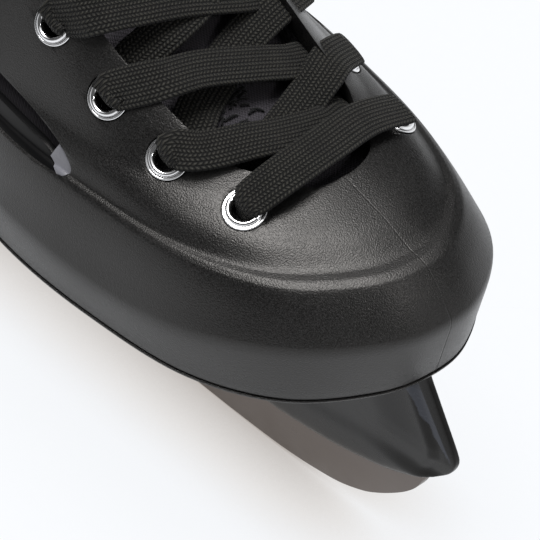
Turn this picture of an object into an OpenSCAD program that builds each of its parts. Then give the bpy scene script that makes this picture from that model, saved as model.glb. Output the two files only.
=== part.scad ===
// Ice skate: moulded lace-up boot with a hinged ankle cuff, on a blade holder and a steel runner.
// Frame: +X towards the toe, +Y to the skate's left, +Z up. The origin lies on the flat
// middle of the runner's bottom edge, in the plane of the blade.

/* [Boot shell] */
// Length of the boot shell
boot_length = 290; // [286:1:292]
// Thickness of the shell wall
shell_wall = 3.5; // [3:0.1:4]
// Height of the shell's lower edge above the ice at the toe
sole_z = 68; // [67:0.5:69]
// How much higher the heel stands than the toe
heel_rise = 10; // [9:0.5:10]
// Height of the shell's top edge at the front of the ankle
shell_top = 190; // [188:1:192]

/* [Lining] */
// Thickness of the padded lining
liner_wall = 5; // [4:0.5:6]
// Thickness of the padded tongue
tongue_thick = 6; // [5:0.5:6]
// Highest point of the padded collar
collar_top = 276; // [270:1:278]

/* [Laces] */
// Width of the flat lace
lace_width = 10; // [8:0.5:10]
// Thickness of the flat lace
lace_thick = 1.8; // [1.4:0.1:2]
// Radius of an eyelet's hole
eyelet_hole_r = 3.1; // [2.8:0.1:3.2]
// Outer radius of an eyelet's rolled face
eyelet_r = 5.2; // [4.8:0.1:5.4]

/* [Cuff] */
// Thickness of the cuff wall
cuff_wall = 3.5; // [3:0.1:4]
// Gap between the cuff and the shell
cuff_gap = 3.5; // [3.2:0.1:4]
// Radius of the ankle pivot's shaft
pivot_r = 5; // [4:0.5:5]

/* [Blade] */
// Thickness of the steel runner
runner_thick = 3; // [2.8:0.1:3.2]
// Thickness of the holder's rail around the runner
rail_thick = 9; // [8:0.5:10]

/* [Hidden] */
$fn = 48;
run_clear = 0.05;
fit_clear = 0.3;

// Outline of the boot seen from above, toe at +X. The inner side (-Y) is fuller than the outer.
boot_outline = [
    [-145, 0], [-137, -22], [-112, -36], [-65, -38], [-10, -40],
    [38, -47], [74, -51], [104, -46], [127, -35.5], [141, -18],
    [145, -3], [142.5, 11], [130, 26], [107, 36], [78, 42],
    [40, 46], [-10, 46], [-65, 42], [-112, 38], [-137, 23]
];
// Outline of the ankle, drawn at the same length as the boot's outline.
ankle_outline = [
    [-145, 0], [-136, -20], [-112, -33], [-70, -40], [-20, -42],
    [38, -38], [78, -32], [108, -25], [128, -18], [141, -9],
    [145, 0], [141, 9], [128, 18], [108, 25], [78, 32],
    [38, 38], [-20, 42], [-70, 40], [-112, 33], [-136, 20]
];
// Each level: height, front x, back x, share of the outline's width, share of the heel's rise.
shell_levels = [
    [sole_z, 138.5, -139, 0.975, 1],
    [89.5, 145, -145, 1, 0.85],
    [103.5, 128.5, -143, 0.875, 0.6],
    [108, 116, -142.5, 0.81, 0.4],
    [112, 103, -142, 0.765, 0.2],
    [120, 88, -141.5, 0.72, 0],
    [130, 72, -141, 0.665, 0],
    [140, 57, -140, 0.61, 0],
    [150, 43, -138.5, 0.56, 0],
    [160, 30, -137, 0.52, 0],
    [172, 17, -135.5, 0.5, 0],
    [shell_top, 5, -133, 0.5, 0]
];
ankle_levels = [
    [128, 72, -141, 0.665, 0],
    [150, 43, -138.5, 0.56, 0],
    [172, 17, -135.5, 0.5, 0],
    [190, 5, -133, 0.5, 0],
    [210, 0, -131, 0.5, 0],
    [235, 2, -129, 0.5, 0],
    [258, 8, -128, 0.5, 0],
    [290, 17, -127, 0.5, 0]
];
spline_steps = 2;

// Ankle pivot, which the cuff turns about.
pivot = [-78, 148];
cuff_forward = 9.5;
cuff_back = 3;
// The lining is split along two lines through the pivot: angles at the front and at the back.
split_front = 32;
split_back = 30;
split_lift = 1.5;

// Throat of the boot, where the tongue shows, seen from above.
throat = [
    [106, -1], [104, -10], [93, -18.5], [87, -22], [76, -24.5], [60, -26.5], [40, -27],
    [0, -27], [-14, -27], [-14, 24], [0, 23], [20, 21], [50, 19.5], [70, 18.5],
    [84, 18], [90, 16], [101, 11.5], [105, 6]
];
// Side slot in the shell, seen from the side.
slot = [
    [52, 102.3], [46, 108.5], [17, 113.3], [-20, 116], [-32, 114], [-36, 108.5], [-29, 104],
    [20, 101.3]
];
// Eyelets from the toe up: position, lean to the side, lean to the front.
eyes_right = [
    [98, -26, 109.6, 22, 15], [75.5, -31, 114.5, 38, 18], [55, -32.3, 121.6, 50, 14],
    [34, -31.5, 131.6, 54, 11], [14, -30.5, 140.7, 62, 7]
];
eyes_left = [
    [96, 24, 108.3, -31, 13], [73.5, 26.3, 112.7, -48, 15], [54, 26.7, 120.4, -58, 12],
    [34, 27, 128.6, -64, 9], [14, 27, 138.1, -70, 8]
];
// Tongue: x, height, middle y, half width and droop of the edges at each station.
tongue_line = [
    [112, 103, 0, 11, 1.5], [104, 105.5, 0, 15, 2], [98, 107, -1, 18, 2.5],
    [88, 109.5, -2.5, 21, 3], [75, 113, -3.5, 22.5, 3.5], [55, 121, -3.5, 22.5, 4.5],
    [34, 131, -3, 22, 5], [18, 141, -2.5, 22, 5.5], [6, 153, -2, 22, 6], [-1, 168, -1, 22, 6.5],
    [-4, 185, 0, 22, 7], [-4, 205, 0, 21.5, 7.5], [-1, 225, 0, 21.5, 7.5], [4, 250, 0, 21.5, 7],
    [11, 279, 0, 24, 6]
];

// Blade plane outlines, seen from the side.
holder_side = [
    [136, 66], [140.5, 55], [146, 42], [145.5, 37.5], [142, 33], [137, 31], [120, 25.5],
    [105, 21.5], [85, 18.5], [60, 17], [0, 16.5], [-80, 17], [-118, 19], [-140, 24],
    [-149, 32], [-149, 40], [-137, 77], [-58, 77], [-50, 62], [-42, 44], [-32, 35],
    [16, 34], [28, 44], [37, 58], [42, 66]
];
runner_side = [
    [-60, 0], [45, 0], [65, 0.8], [82, 2.3], [100, 5.4], [112, 9.3], [121.5, 14.6],
    [129, 21], [133.5, 28], [131, 33], [60, 27], [0, 26.5], [-80, 27], [-139, 32], [-147, 26],
    [-145, 18], [-136, 9], [-120, 3.5], [-95, 1]
];
runner_bolt_x = [30, -100];
runner_bolt_z = 22;
front_screws = [[60, 19], [60, -19], [112, 16], [112, -16]];
rear_screws = [[-68, 18], [-68, -18], [-122, 15], [-122, -15]];
flange_thick = 6;
sole_floor = 5;

// Buckle on the cuff's outer side: its middle, its turn about Z and its height.
buckle_at = [-50, 49.5, 225];
buckle_turn = -13;
cheek_gap = 12;
lever_pin_at = [12, 9];
pawl_pin_at = [-12, 6.4];
pin_r = 1.5;

// Free lace ends: points of the right end's route, and the left end's, from the knot down.
end_route_right = [
    [9, -10, 160], [8, -15.5, 159], [7, -21, 156.5], [5.5, -27, 152.5], [4, -32, 147.5],
    [2.5, -37, 140.5], [1, -41, 133], [0.5, -43.8, 126], [0, -45.8, 119], [1, -47.3, 113],
    [2, -48.3, 107], [2.6, -48.8, 100], [3, -49, 93], [3.2, -49, 86.5], [3.3, -49, 80]
];
end_route_left = [
    [9, 6, 160], [8, 11.5, 159], [7, 17, 156.5], [5.5, 23, 152.5], [4, 28.3, 148],
    [2.5, 33.8, 141.5], [1, 38.8, 134], [0.5, 42.8, 127], [0, 46, 120], [1, 48.3, 114.5],
    [2, 49.8, 109], [2.6, 50.6, 102.5], [3, 51, 96], [3.2, 51, 89], [3.3, 51, 82]
];

function smooth(a, b, x) = let (t = min(max((x - a) / (b - a), 0), 1)) t * t * (3 - 2 * t);

// Closed Catmull-Rom curve through p.
function spline(p, n) = [
    for (i = [0 : len(p) - 1], k = [0 : n - 1])
    let (m = len(p), a = p[(i + m - 1) % m], b = p[i], c = p[(i + 1) % m], d = p[(i + 2) % m],
        t = k / n)
    0.5 * (2 * b + (c - a) * t + (2 * a - 5 * b + 4 * c - d) * t * t
        + (3 * b - a - 3 * c + d) * t * t * t)
];

boot_curve = spline(boot_outline, spline_steps);
ankle_curve = spline(ankle_outline, spline_steps);
side_count = len(boot_curve);

// Height of the heel's rise at x, and how far the shell's top edge drops towards the back.
function rise(x) = heel_rise * (1 - smooth(-52, 25, x));
function lid(x) = 1 - 0.37 * (1 - smooth(-130, -20, x));

function level_point(l, i) = let (
        p = boot_curve[i], q = ankle_curve[i],
        x = l[2] + (p[0] + 145) * (l[1] - l[2]) / 290,
        w = l[3] + (1 - l[3]) * (1 - smooth(-60, 10, x)),
        m = smooth(120, 190, l[0])
    ) [x * boot_length / 290, p[1] * w * (1 - m) + q[1] * m];

// One ring of the boot at level l, moved outwards by off; lidded rings dip towards the heel.
function ring(l, off, lidded) = [
    for (i = [0 : side_count - 1])
    let (
        p = level_point(l, i),
        t = level_point(l, (i + 1) % side_count) - level_point(l, (i + side_count - 1) % side_count),
        n = [t[1], -t[0]] / norm(t),
        up = l[0] > 130 && lidded ? 130 + (l[0] - 130) * lid(p[0]) : l[0],
        lift = off * smooth(90, 108, l[0]) * smooth(-30, 40, p[0]) * 0.8
    )
    [p[0] + off * n[0], p[1] + off * n[1], up + lift + rise(p[0]) * l[4]]
];

// Solid through the rings of levels, closed by a strip across each end.
module loft(levels, off, lidded = false) {
    rings = [for (l = levels) ring(l, off, lidded)];
    skin(rings, side_count);
}

module skin(rings, n) {
    count = len(rings);
    half = floor(n / 2);
    sides = [
        for (j = [0 : count - 2], i = [0 : n - 1])
        let (a = j * n + i, b = j * n + (i + 1) % n)
        each [[a, b + n, b], [a, a + n, b + n]]
    ];
    caps = [
        for (i = [0 : half - 1])
        let (a = i, b = i + 1, c = n - 1 - i, d = (n - i) % n, top = (count - 1) * n)
        each concat(
            i < half - 1 ? [[a, b, c], [top + a, top + c, top + b]] : [],
            i > 0 ? [[a, c, d], [top + a, top + d, top + c]] : [])
    ];
    polyhedron([for (r = rings) each r], concat(sides, caps));
}

// Flat band swept along points [x, y, z, width, thickness], its width towards +X.
function unit(v) = v / norm(v);
module band(route) {
    last = len(route) - 1;
    rings = [
        for (i = [0 : last])
        let (
            p = [route[i][0], route[i][1], route[i][2]],
            a = route[max(i - 1, 0)], b = route[min(i + 1, last)],
            t = unit([b[0] - a[0], b[1] - a[1], b[2] - a[2]]),
            side = unit([1, 0, 0] - t * t[0]), up = cross(side, t),
            w = route[i][3] / 2, h = route[i][4] / 2
        )
        [for (k = [0 : 7]) p + side * w * cos(k * 45 + 22.5) / cos(22.5)
            + up * h * sin(k * 45 + 22.5) / cos(22.5)]
    ];
    skin([for (r = rings) [for (k = [0 : 7]) r[7 - k]]], 8);
}

module side_prism(points, from, to) {
    translate([0, to, 0]) rotate([90, 0, 0]) linear_extrude(to - from) polygon(points);
}

module across(x, z, r, from, to) {
    translate([x, to, z]) rotate([90, 0, 0]) cylinder(h = to - from, r = r);
}

module at_eye(e) { translate([e[0], e[1], e[2]]) rotate([e[3], 0, 0]) rotate([0, e[4], 0]) children(); }

// Part of the boot that stays below the split of the lining, and the part above it.
module below_split() {
    side_prism([
        [pivot[0], pivot[1]], [pivot[0] + 200, pivot[1] + 200 * tan(split_front)], [200, 0], [-200, 0],
        [pivot[0] - 90, pivot[1] + 90 * tan(split_back)]
    ], -80, 80);
}

module above_split() {
    front = split_front + cuff_forward + 1;
    back = split_back + cuff_back + 1;
    side_prism([
        [pivot[0], pivot[1] + split_lift],
        [pivot[0] + 150, pivot[1] + split_lift + 150 * tan(front)],
        [pivot[0] + 150, 400], [pivot[0] - 90, 400],
        [pivot[0] - 90, pivot[1] + split_lift + 90 * tan(back)]
    ], -80, 80);
}

module shell() {
    inner = [for (l = shell_levels) l[0] == sole_z ? [sole_z + sole_floor, l[1], l[2], l[3], l[4]] : l];
    over = [inner[len(inner) - 1] + [12, -6, 0, 0, 0]];
    color([0.09, 0.09, 0.1]) difference() {
        loft(shell_levels, 0, true);
        loft(concat(inner, over), -shell_wall, true);
        translate([0, 0, 96]) linear_extrude(140) polygon(throat);
        side_prism(slot, -70, 70);
        for (e = concat(eyes_right, eyes_left)) at_eye(e)
            translate([0, 0, -8]) cylinder(h = 16, r = 4);
        across(pivot[0], pivot[1], pivot_r + run_clear, -60, 60);
        for (s = front_screws) translate([s[0], s[1], sole_z - 1]) cylinder(h = 12, r = 2.6);
        for (s = rear_screws) translate([s[0], s[1], sole_z - 1]) cylinder(h = 24, r = 2.6);
        for (s = front_screws) translate([s[0], s[1], sole_z + 3.3]) cylinder(h = 4, r = 8);
        for (s = rear_screws) translate([s[0], s[1], sole_z + heel_rise + 2.8]) cylinder(h = 6, r = 8);
    }
}

module liner_lower() {
    floor_z = sole_z + sole_floor + 0.4;
    off = -shell_wall - 0.4;
    outer = [for (l = shell_levels) l[0] == sole_z ? [floor_z, l[1], l[2], l[3], l[4]] : l];
    inner = [for (l = shell_levels) l[0] == sole_z ? [floor_z + 4, l[1], l[2], l[3], l[4]] : l];
    over = [inner[len(inner) - 1] + [12, -6, 0, 0, 0]];
    color([0.06, 0.06, 0.065]) intersection() {
        difference() {
            loft(concat(outer, over), off, true);
            loft(concat(inner, [over[0] + [12, -6, 0, 0, 0]]), off - liner_wall, true);
            translate([0, 0, 92]) linear_extrude(160) tongue_plan(0.5);
            for (e = concat(eyes_right, eyes_left)) at_eye(e)
                translate([0, 0, -9]) cylinder(h = 9, r = 5.6, $fn = 24);
            bolt_pockets();
        }
        below_split();
    }
}

// Room in the lining for the inner end of each ankle bolt and its nut.
module bolt_pockets() {
    across(pivot[0], pivot[1], 10, -face_right, -face_right + 13.4);
    across(pivot[0], pivot[1], 10, face_left - 13.4, face_left);
}

// The lining is open over the tongue's whole width, up to the ankle.
module tongue_plan(grow) {
    offset(delta = grow) polygon([
        [112, -11], [104, -15], [98, -19], [88, -23.5], [75, -26], [55, -26], [18, -25], [-20, -24],
        [-20, 24], [18, 21], [55, 19], [75, 19], [88, 18.5], [98, 17], [104, 15], [112, 11]
    ]);
}

module footbed() {
    z = sole_z + sole_floor + 0.4 + 4 + 0.3;
    bed = [[z, 138.5, -139, 0.975, 1], [z + 3, 139, -139.5, 0.98, 1]];
    color([0.2, 0.2, 0.21]) loft(bed, -shell_wall - liner_wall - 1.2);
}

module tongue() {
    last = len(tongue_line) - 1;
    rings = [
        for (j = [0 : last])
        let (
            s = tongue_line[j], a = tongue_line[max(j - 1, 0)], b = tongue_line[min(j + 1, last)],
            t = unit([b[0] - a[0], b[1] - a[1]]), n = [-t[1], t[0]] * -1
        )
        [
            for (k = [0 : 8], layer = 0) let (u = k / 4 - 1, d = -s[4] * u * u)
                [s[0] + n[0] * d, s[2] + s[3] * u, s[1] + n[1] * d],
            for (k = [8 : -1 : 0]) let (u = k / 4 - 1, d = -s[4] * u * u - tongue_thick * (1 - 0.5 * u * u))
                [s[0] + n[0] * d, s[2] + s[3] * u, s[1] + n[1] * d]
        ]
    ];
    skin(rings, 18);
}

module tongue_lower() {
    color([0.07, 0.07, 0.075]) intersection() {
        tongue();
        below_split();
    }
}

module tongue_upper() {
    color([0.07, 0.07, 0.075]) intersection() {
        tongue();
        above_split();
    }
}

// A rolled face, a barrel through the wall and a washer inside, with one round hole.
module eyelet() {
    difference() {
        union() {
            translate([0, 0, 0.5]) cylinder(h = 1.4, r = eyelet_r);
            translate([0, 0, -5]) cylinder(h = 6, r = 3.8);
            translate([0, 0, -5.8]) cylinder(h = 0.8, r = 5);
        }
        translate([0, 0, -8]) cylinder(h = 12, r = eyelet_hole_r);
    }
}

module eyelets_right() {
    color([0.85, 0.86, 0.88]) for (e = eyes_right) at_eye(e) eyelet();
}

module eyelets_left() {
    color([0.85, 0.86, 0.88]) for (e = eyes_left) at_eye(e) eyelet();
}

module slot_insert(from, to) {
    color([0.14, 0.14, 0.15]) intersection() {
        difference() {
            loft(shell_levels, -0.8, true);
            loft(shell_levels, -3, true);
        }
        translate([0, to, 0]) rotate([90, 0, 0])
            linear_extrude(to - from) offset(delta = -fit_clear) polygon(slot);
    }
}

module slot_insert_right() { slot_insert(-70, 0); }
module slot_insert_left() { slot_insert(0, 70); }

// Point at height h over eyelet e, along its axis.
function over_eye(e, h) = [
    e[0] + h * sin(e[4]), e[1] - h * sin(e[3]) * cos(e[4]), e[2] + h * cos(e[3]) * cos(e[4])
];
function lace_at(p, w, t) = [p[0], p[1], p[2], w, t];
// Height of the tongue's middle at x.
function tongue_z(x) = lookup(x, [for (s = tongue_line) if (s[1] < 170) [s[0], s[1]]]);

// One crossing: down through eyelet a, across the tongue, and over the edge to eyelet b.
function crossing(a, b, over) = let (
        mid = [b[0] + 10.5, -3, 0],
        under = [a[0] - 5, a[1] * 0.64 - 1, tongue_z(a[0] - 5) - 0.8],
        cross_z = tongue_z(mid[0]) + 1.4 + over,
        edge = [b[0] + 5, b[1] * 0.76 - 0.8, max(tongue_z(b[0] + 5) + 2.5, b[2] + 4)]
    ) [
        lace_at(over_eye(a, -4), 5.6, 4), lace_at(over_eye(a, -7.6), 7, 3),
        lace_at(under, lace_width, lace_thick), lace_at([mid[0], mid[1], cross_z], lace_width, lace_thick),
        lace_at(edge, lace_width, lace_thick), lace_at(over_eye(b, 3.4), 8, 2.4), lace_at(over_eye(b, 1), 5.6, 4)
    ];

// Half of the lace from its first eyelet on: it changes sides at each pair, then meets the knot.
function half_lace(a, b) = concat(
    crossing(a[0], b[1], a[0][1] < 0 ? 0 : 2), crossing(b[1], a[2], a[0][1] < 0 ? 2 : 0),
    crossing(a[2], b[3], a[0][1] < 0 ? 0 : 2), crossing(b[3], a[4], a[0][1] < 0 ? 2 : 0),
    [
        lace_at(over_eye(a[4], -5), 5.6, 4),
        lace_at([13, a[4][1] * 0.72, 142.5], lace_width, lace_thick),
        lace_at([10.5, a[4][1] * 0.5, 150], lace_width, lace_thick),
        lace_at([9, a[4][1] * 0.3, 156], lace_width, lace_thick)
    ]);
function reversed(list) = [for (i = [len(list) - 1 : -1 : 0]) list[i]];

// One lace: a straight bar across the pair nearest the toe, and a half up each side.
module lace_threaded() {
    r = eyes_right;
    l = eyes_left;
    bar = [
        lace_at(over_eye(r[0], 1.4), 5.6, 4), lace_at(over_eye(r[0], 3.6) + [0, 2, 0], 8, 2.4),
        lace_at([99.5, -14, 115.5], lace_width, lace_thick), lace_at([99.5, -1, 116], lace_width, lace_thick),
        lace_at([98.5, 11, 114.5], lace_width, lace_thick),
        lace_at(over_eye(l[0], 3.6) + [0, -2, 0], 8, 2.4), lace_at(over_eye(l[0], 1.4), 5.6, 4)
    ];
    color([0.1, 0.1, 0.1]) band(concat(reversed(half_lace(r, l)), bar, half_lace(l, r)));
}

module lace_knot() {
    color([0.1, 0.1, 0.1]) translate([8, -2, 161]) rotate([0, 45, 0]) hull() {
        translate([0, -6, 0]) scale([1.1, 0.8, 0.6]) sphere(r = 7, $fn = 20);
        translate([0, 6, 0]) scale([1.1, 0.8, 0.6]) sphere(r = 7, $fn = 20);
    }
}

module lace_end_right() {
    color([0.1, 0.1, 0.1]) band([for (p = end_route_right) lace_at(p, lace_width, lace_thick)]);
}

module lace_end_left() {
    color([0.1, 0.1, 0.1]) band([for (p = end_route_left) lace_at(p, lace_width, lace_thick)]);
}

module aglet(route) {
    tip = route[len(route) - 1];
    translate([tip[0], tip[1], tip[2] - 14]) cylinder(h = 14, r = 1.9);
}

module aglet_right() { color([0.1, 0.1, 0.11]) aglet(end_route_right); }
module aglet_left() { color([0.1, 0.1, 0.11]) aglet(end_route_left); }

// Flange under the sole with a flared root that runs down into the web.
module holder_pad(points, z, root) {
    translate([0, 0, z - flange_thick]) linear_extrude(flange_thick) polygon(points);
    hull() {
        translate([0, 0, z - flange_thick]) linear_extrude(1) offset(delta = -7) polygon(points);
        translate([root[0], -rail_thick / 2, root[2]]) cube([root[1] - root[0], rail_thick, 2]);
    }
}

module blade_holder() {
    front_pad = [
        [134, -8], [126, -22], [108, -31], [70, -33], [40, -28], [38, 0],
        [40, 28], [70, 33], [108, 29], [126, 20], [134, 8]
    ];
    rear_pad = [
        [-136, -10], [-130, -22], [-112, -27], [-75, -27], [-55, -24], [-52, 0],
        [-55, 24], [-75, 27], [-112, 27], [-130, 22], [-136, 10]
    ];
    color([0.05, 0.05, 0.055]) difference() {
        union() {
            intersection() {
                side_prism(holder_side, -rail_thick / 2, rail_thick / 2);
                translate([-160, -40, 0]) cube([320, 80, 140]);
            }
            holder_pad(front_pad, sole_z - 0.2, [52, 134, 44]);
            holder_pad(rear_pad, sole_z + heel_rise - 0.4, [-134, -60, 50]);
        }
        side_prism([
            [-152, 10], [138, 10], [138, 34.3], [131, 34.3], [60, 28.3], [0, 27.8], [-80, 28.3],
            [-139, 33.3], [-152, 31]
        ], -runner_thick / 2 - 0.1, runner_thick / 2 + 0.1);
        for (x = runner_bolt_x) across(x, runner_bolt_z, 2.6, -20, 20);
        for (s = concat(front_screws, rear_screws)) {
            translate([s[0], s[1], 20]) cylinder(h = 80, r = 2.6);
        }
        for (s = front_screws) translate([s[0], s[1], 20]) cylinder(h = sole_z - 24, r = 5.2);
        for (s = rear_screws) translate([s[0], s[1], 20]) cylinder(h = sole_z - 14, r = 5.2);
    }
}

module runner() {
    color([0.62, 0.6, 0.58]) difference() {
        side_prism(runner_side, -runner_thick / 2, runner_thick / 2);
        for (x = runner_bolt_x) across(x, runner_bolt_z, 2.6, -20, 20);
    }
}

module runner_bolts() {
    color([0.6, 0.6, 0.62]) for (x = runner_bolt_x) difference() {
        union() {
            across(x, runner_bolt_z, 2.5, -6.6, 8);
            across(x, runner_bolt_z, 4.4, -rail_thick / 2 - 2.2, -rail_thick / 2 - 0.05);
        }
        across(x, runner_bolt_z, 1.5, -rail_thick / 2 - 3, -rail_thick / 2 - 1);
    }
}

module runner_nuts() {
    color([0.6, 0.6, 0.62]) for (x = runner_bolt_x) difference() {
        across(x, runner_bolt_z, 4.4, rail_thick / 2 + 0.05, rail_thick / 2 + 3);
        across(x, runner_bolt_z, 2.55, 0, 20);
    }
}

// Screw from below, its head under the flange at height z.
module sole_screw(p, z) {
    difference() {
        union() {
            translate([p[0], p[1], z]) cylinder(h = 8.7, r = 2.5);
            translate([p[0], p[1], z - 3]) cylinder(h = 3, r = 4.6);
        }
        translate([p[0], p[1], z - 4]) cylinder(h = 2.5, r = 1.8);
    }
}

module holder_screws() {
    color([0.55, 0.55, 0.57]) {
        for (p = front_screws) sole_screw(p, sole_z - 4.1);
        for (p = rear_screws) sole_screw(p, sole_z + heel_rise - 4.1 - 0.2);
    }
}

module sole_nut(p, z) {
    translate([p[0], p[1], z]) difference() {
        cylinder(h = 1.2, r = 7.5);
        translate([0, 0, -1]) cylinder(h = 4, r = 2.55);
    }
}

module sole_nuts() {
    color([0.6, 0.6, 0.62]) {
        for (p = front_screws) sole_nut(p, sole_z + 3.5);
        for (p = rear_screws) sole_nut(p, sole_z + heel_rise + 3);
    }
}

// Shouldered ankle bolt: side is -1 on the right and 1 on the left, face is the cuff's outer y.
module pivot_bolt(side, face) {
    scale_y = side > 0 ? 0 : 1;
    color([0.7, 0.7, 0.72]) mirror([0, scale_y, 0]) difference() {
        union() {
            across(pivot[0], pivot[1], pivot_r, face - 13, face + 1);
            across(pivot[0], pivot[1], 9, face + 0.9, face + 3.2);
        }
        across(pivot[0], pivot[1], 2.5, face + 1.6, face + 5);
    }
}

module pivot_nut(side, face) {
    scale_y = side > 0 ? 0 : 1;
    color([0.6, 0.6, 0.62]) mirror([0, scale_y, 0]) difference() {
        across(pivot[0], pivot[1], 7.5, face - 13, face - 11.8);
        across(pivot[0], pivot[1], pivot_r + run_clear, 0, 60);
    }
}

face_right = 46.8;
face_left = 49.8;
module pivot_bolt_right() { pivot_bolt(-1, face_right); }
module pivot_bolt_left() { pivot_bolt(1, face_left); }
module pivot_nut_right() { pivot_nut(-1, face_right); }
module pivot_nut_left() { pivot_nut(1, face_left); }

module cuff() {
    profile = [
        [-170, 268], [-112, 272], [-60, 262], [-12, 258], [-7, 246], [-8, 225], [-14, 200], [-25, 176],
        [-42, 152], [-58, 135], [-70, 128.5], [-86, 128.5], [-98, 138], [-112, 154], [-132, 162],
        [-170, 162]
    ];
    color([0.1, 0.1, 0.11]) difference() {
        intersection() {
            difference() {
                loft(ankle_levels, cuff_gap + cuff_wall);
                loft(concat([ankle_levels[0] + [-5, 0, 0, 0, 0]], ankle_levels,
                    [[296, 18, -127, 0.5, 0]]), cuff_gap);
            }
            side_prism(profile, -90, 90);
        }
        across(pivot[0], pivot[1], pivot_r + run_clear, -90, 90);
        for (p = [[-62, 218], [-62, 232], [-40, 225]]) across(p[0], p[1], 1.6, 20, 90);
        across(-44, 225, 2.1, -90, -20);
    }
}

module liner_upper() {
    profile = [[-170, collar_top], [-110, collar_top], [-60, collar_top - 10], [-23, collar_top - 10],
        [-23, 216], [-39, 206], [-39, 120], [-170, 120]];
    color([0.06, 0.06, 0.065]) intersection() {
        difference() {
            loft(ankle_levels, -shell_wall - 2);
            loft(concat([ankle_levels[0] + [-5, 0, 0, 0, 0]], ankle_levels,
                [[296, 18, -127, 0.5, 0]]), -shell_wall - 2 - liner_wall);
        }
        difference() {
            side_prism(profile, -90, 90);
            bolt_pockets();
        }
        above_split();
    }
}

// Toothed strap: a band that follows the cuff round the front of the ankle.
module ladder_strap() {
    levels = ankle_levels;
    color([0.08, 0.08, 0.085]) difference() {
        intersection() {
            difference() {
                loft(levels, cuff_gap + cuff_wall + 2.6);
                loft(concat([levels[0] + [-5, 0, 0, 0, 0]], levels, [[296, 18, -127, 0.5, 0]]),
                    cuff_gap + cuff_wall + 0.6);
            }
            translate([-52, -90, 216]) cube([120, 180, 18]);
        }
        across(-44, 225, 2.1, -90, -20);
    }
}

module strap_screws() {
    color([0.6, 0.6, 0.62]) difference() {
        union() {
            across(-44, 225, 2, -48.8, -39);
            across(-44, 225, 5, -50.8, -48.4);
        }
        across(-44, 225, 1.6, -52, -49.4);
    }
}

// Frame of the buckle: x along the strap, y outwards, z up.
module at_buckle() { translate(buckle_at) rotate([0, 0, buckle_turn]) children(); }

module buckle_base() {
    cheek = [[-24, 1], [22, 1], [22, 5], [15, 12.5], [9, 12.5], [2, 9], [-16, 9.5], [-24, 4]];
    color([0.12, 0.12, 0.13]) at_buckle() difference() {
        union() {
            for (z = [-cheek_gap - 2, cheek_gap]) translate([0, 0, z]) linear_extrude(2) polygon(cheek);
            translate([-24, 1, -cheek_gap - 2]) cube([20, 2, 2 * cheek_gap + 4]);
        }
        translate([lever_pin_at[0], lever_pin_at[1], -20]) cylinder(h = 40, r = pin_r + run_clear);
        translate([pawl_pin_at[0], pawl_pin_at[1], -20]) cylinder(h = 40, r = pin_r + run_clear);
        for (z = [-7, 7]) translate([-20, 4, z]) rotate([90, 0, 0]) cylinder(h = 8, r = 1.6);
    }
}

module buckle_rivets() {
    color([0.65, 0.65, 0.67]) at_buckle() for (z = [-7, 7]) {
        translate([-20, 3.1, z]) rotate([90, 0, 0]) cylinder(h = 5, r = 1.5);
        translate([-20, 3.9, z]) rotate([90, 0, 0]) cylinder(h = 0.8, r = 2.8);
    }
}

module buckle_pin(p) {
    color([0.7, 0.7, 0.72]) at_buckle() translate([p[0], p[1], -cheek_gap - 2.5])
        cylinder(h = 2 * cheek_gap + 5, r = pin_r);
}

module lever_pin() { buckle_pin(lever_pin_at); }
module pawl_pin() { buckle_pin(pawl_pin_at); }

module buckle_lever() {
    arm = [[12, 10.8], [8, 12.8], [-10, 14.2], [-28, 13.6], [-34, 15.4], [-35, 14], [-28, 11.6], [-8, 11.2],
        [8, 8.6]];
    color([0.12, 0.12, 0.13]) at_buckle() difference() {
        union() {
            translate([0, 0, -cheek_gap + 0.5]) linear_extrude(2 * cheek_gap - 1) polygon(arm);
            translate([lever_pin_at[0], lever_pin_at[1], -cheek_gap + 0.5])
                cylinder(h = 2 * cheek_gap - 1, r = 3.6);
        }
        translate([lever_pin_at[0], lever_pin_at[1], -20]) cylinder(h = 40, r = pin_r + run_clear);
    }
}

module buckle_pawl() {
    arm = [[-12, 4.2], [-2, 3.9], [-1, 4.6], [-3, 6.6], [-12, 8.6]];
    color([0.5, 0.5, 0.52]) at_buckle() difference() {
        union() {
            translate([0, 0, -8]) linear_extrude(16) polygon(arm);
            translate([pawl_pin_at[0], pawl_pin_at[1], -8]) cylinder(h = 16, r = 2.6);
        }
        translate([pawl_pin_at[0], pawl_pin_at[1], -20]) cylinder(h = 40, r = pin_r + run_clear);
    }
}

shell();
liner_lower();
footbed();
tongue_lower();
eyelets_right();
eyelets_left();
slot_insert_right();
slot_insert_left();
lace_threaded();
lace_knot();
lace_end_right();
lace_end_left();
aglet_right();
aglet_left();
blade_holder();
runner();
runner_bolts();
runner_nuts();
holder_screws();
sole_nuts();
pivot_bolt_right();
pivot_bolt_left();
pivot_nut_right();
pivot_nut_left();
cuff();
liner_upper();
tongue_upper();
ladder_strap();
strap_screws();
buckle_base();
buckle_rivets();
lever_pin();
pawl_pin();
buckle_lever();
buckle_pawl();
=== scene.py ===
"""Ice skate: moulded boot, lining, laces, hinged cuff, blade holder and runner, built over the frame.

Shapes are worked out in millimetres, in the frame's own axes, and become metres where a mesh is made.
"""
import math

import bmesh
import bpy
import numpy as np
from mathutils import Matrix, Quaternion, Vector


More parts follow.
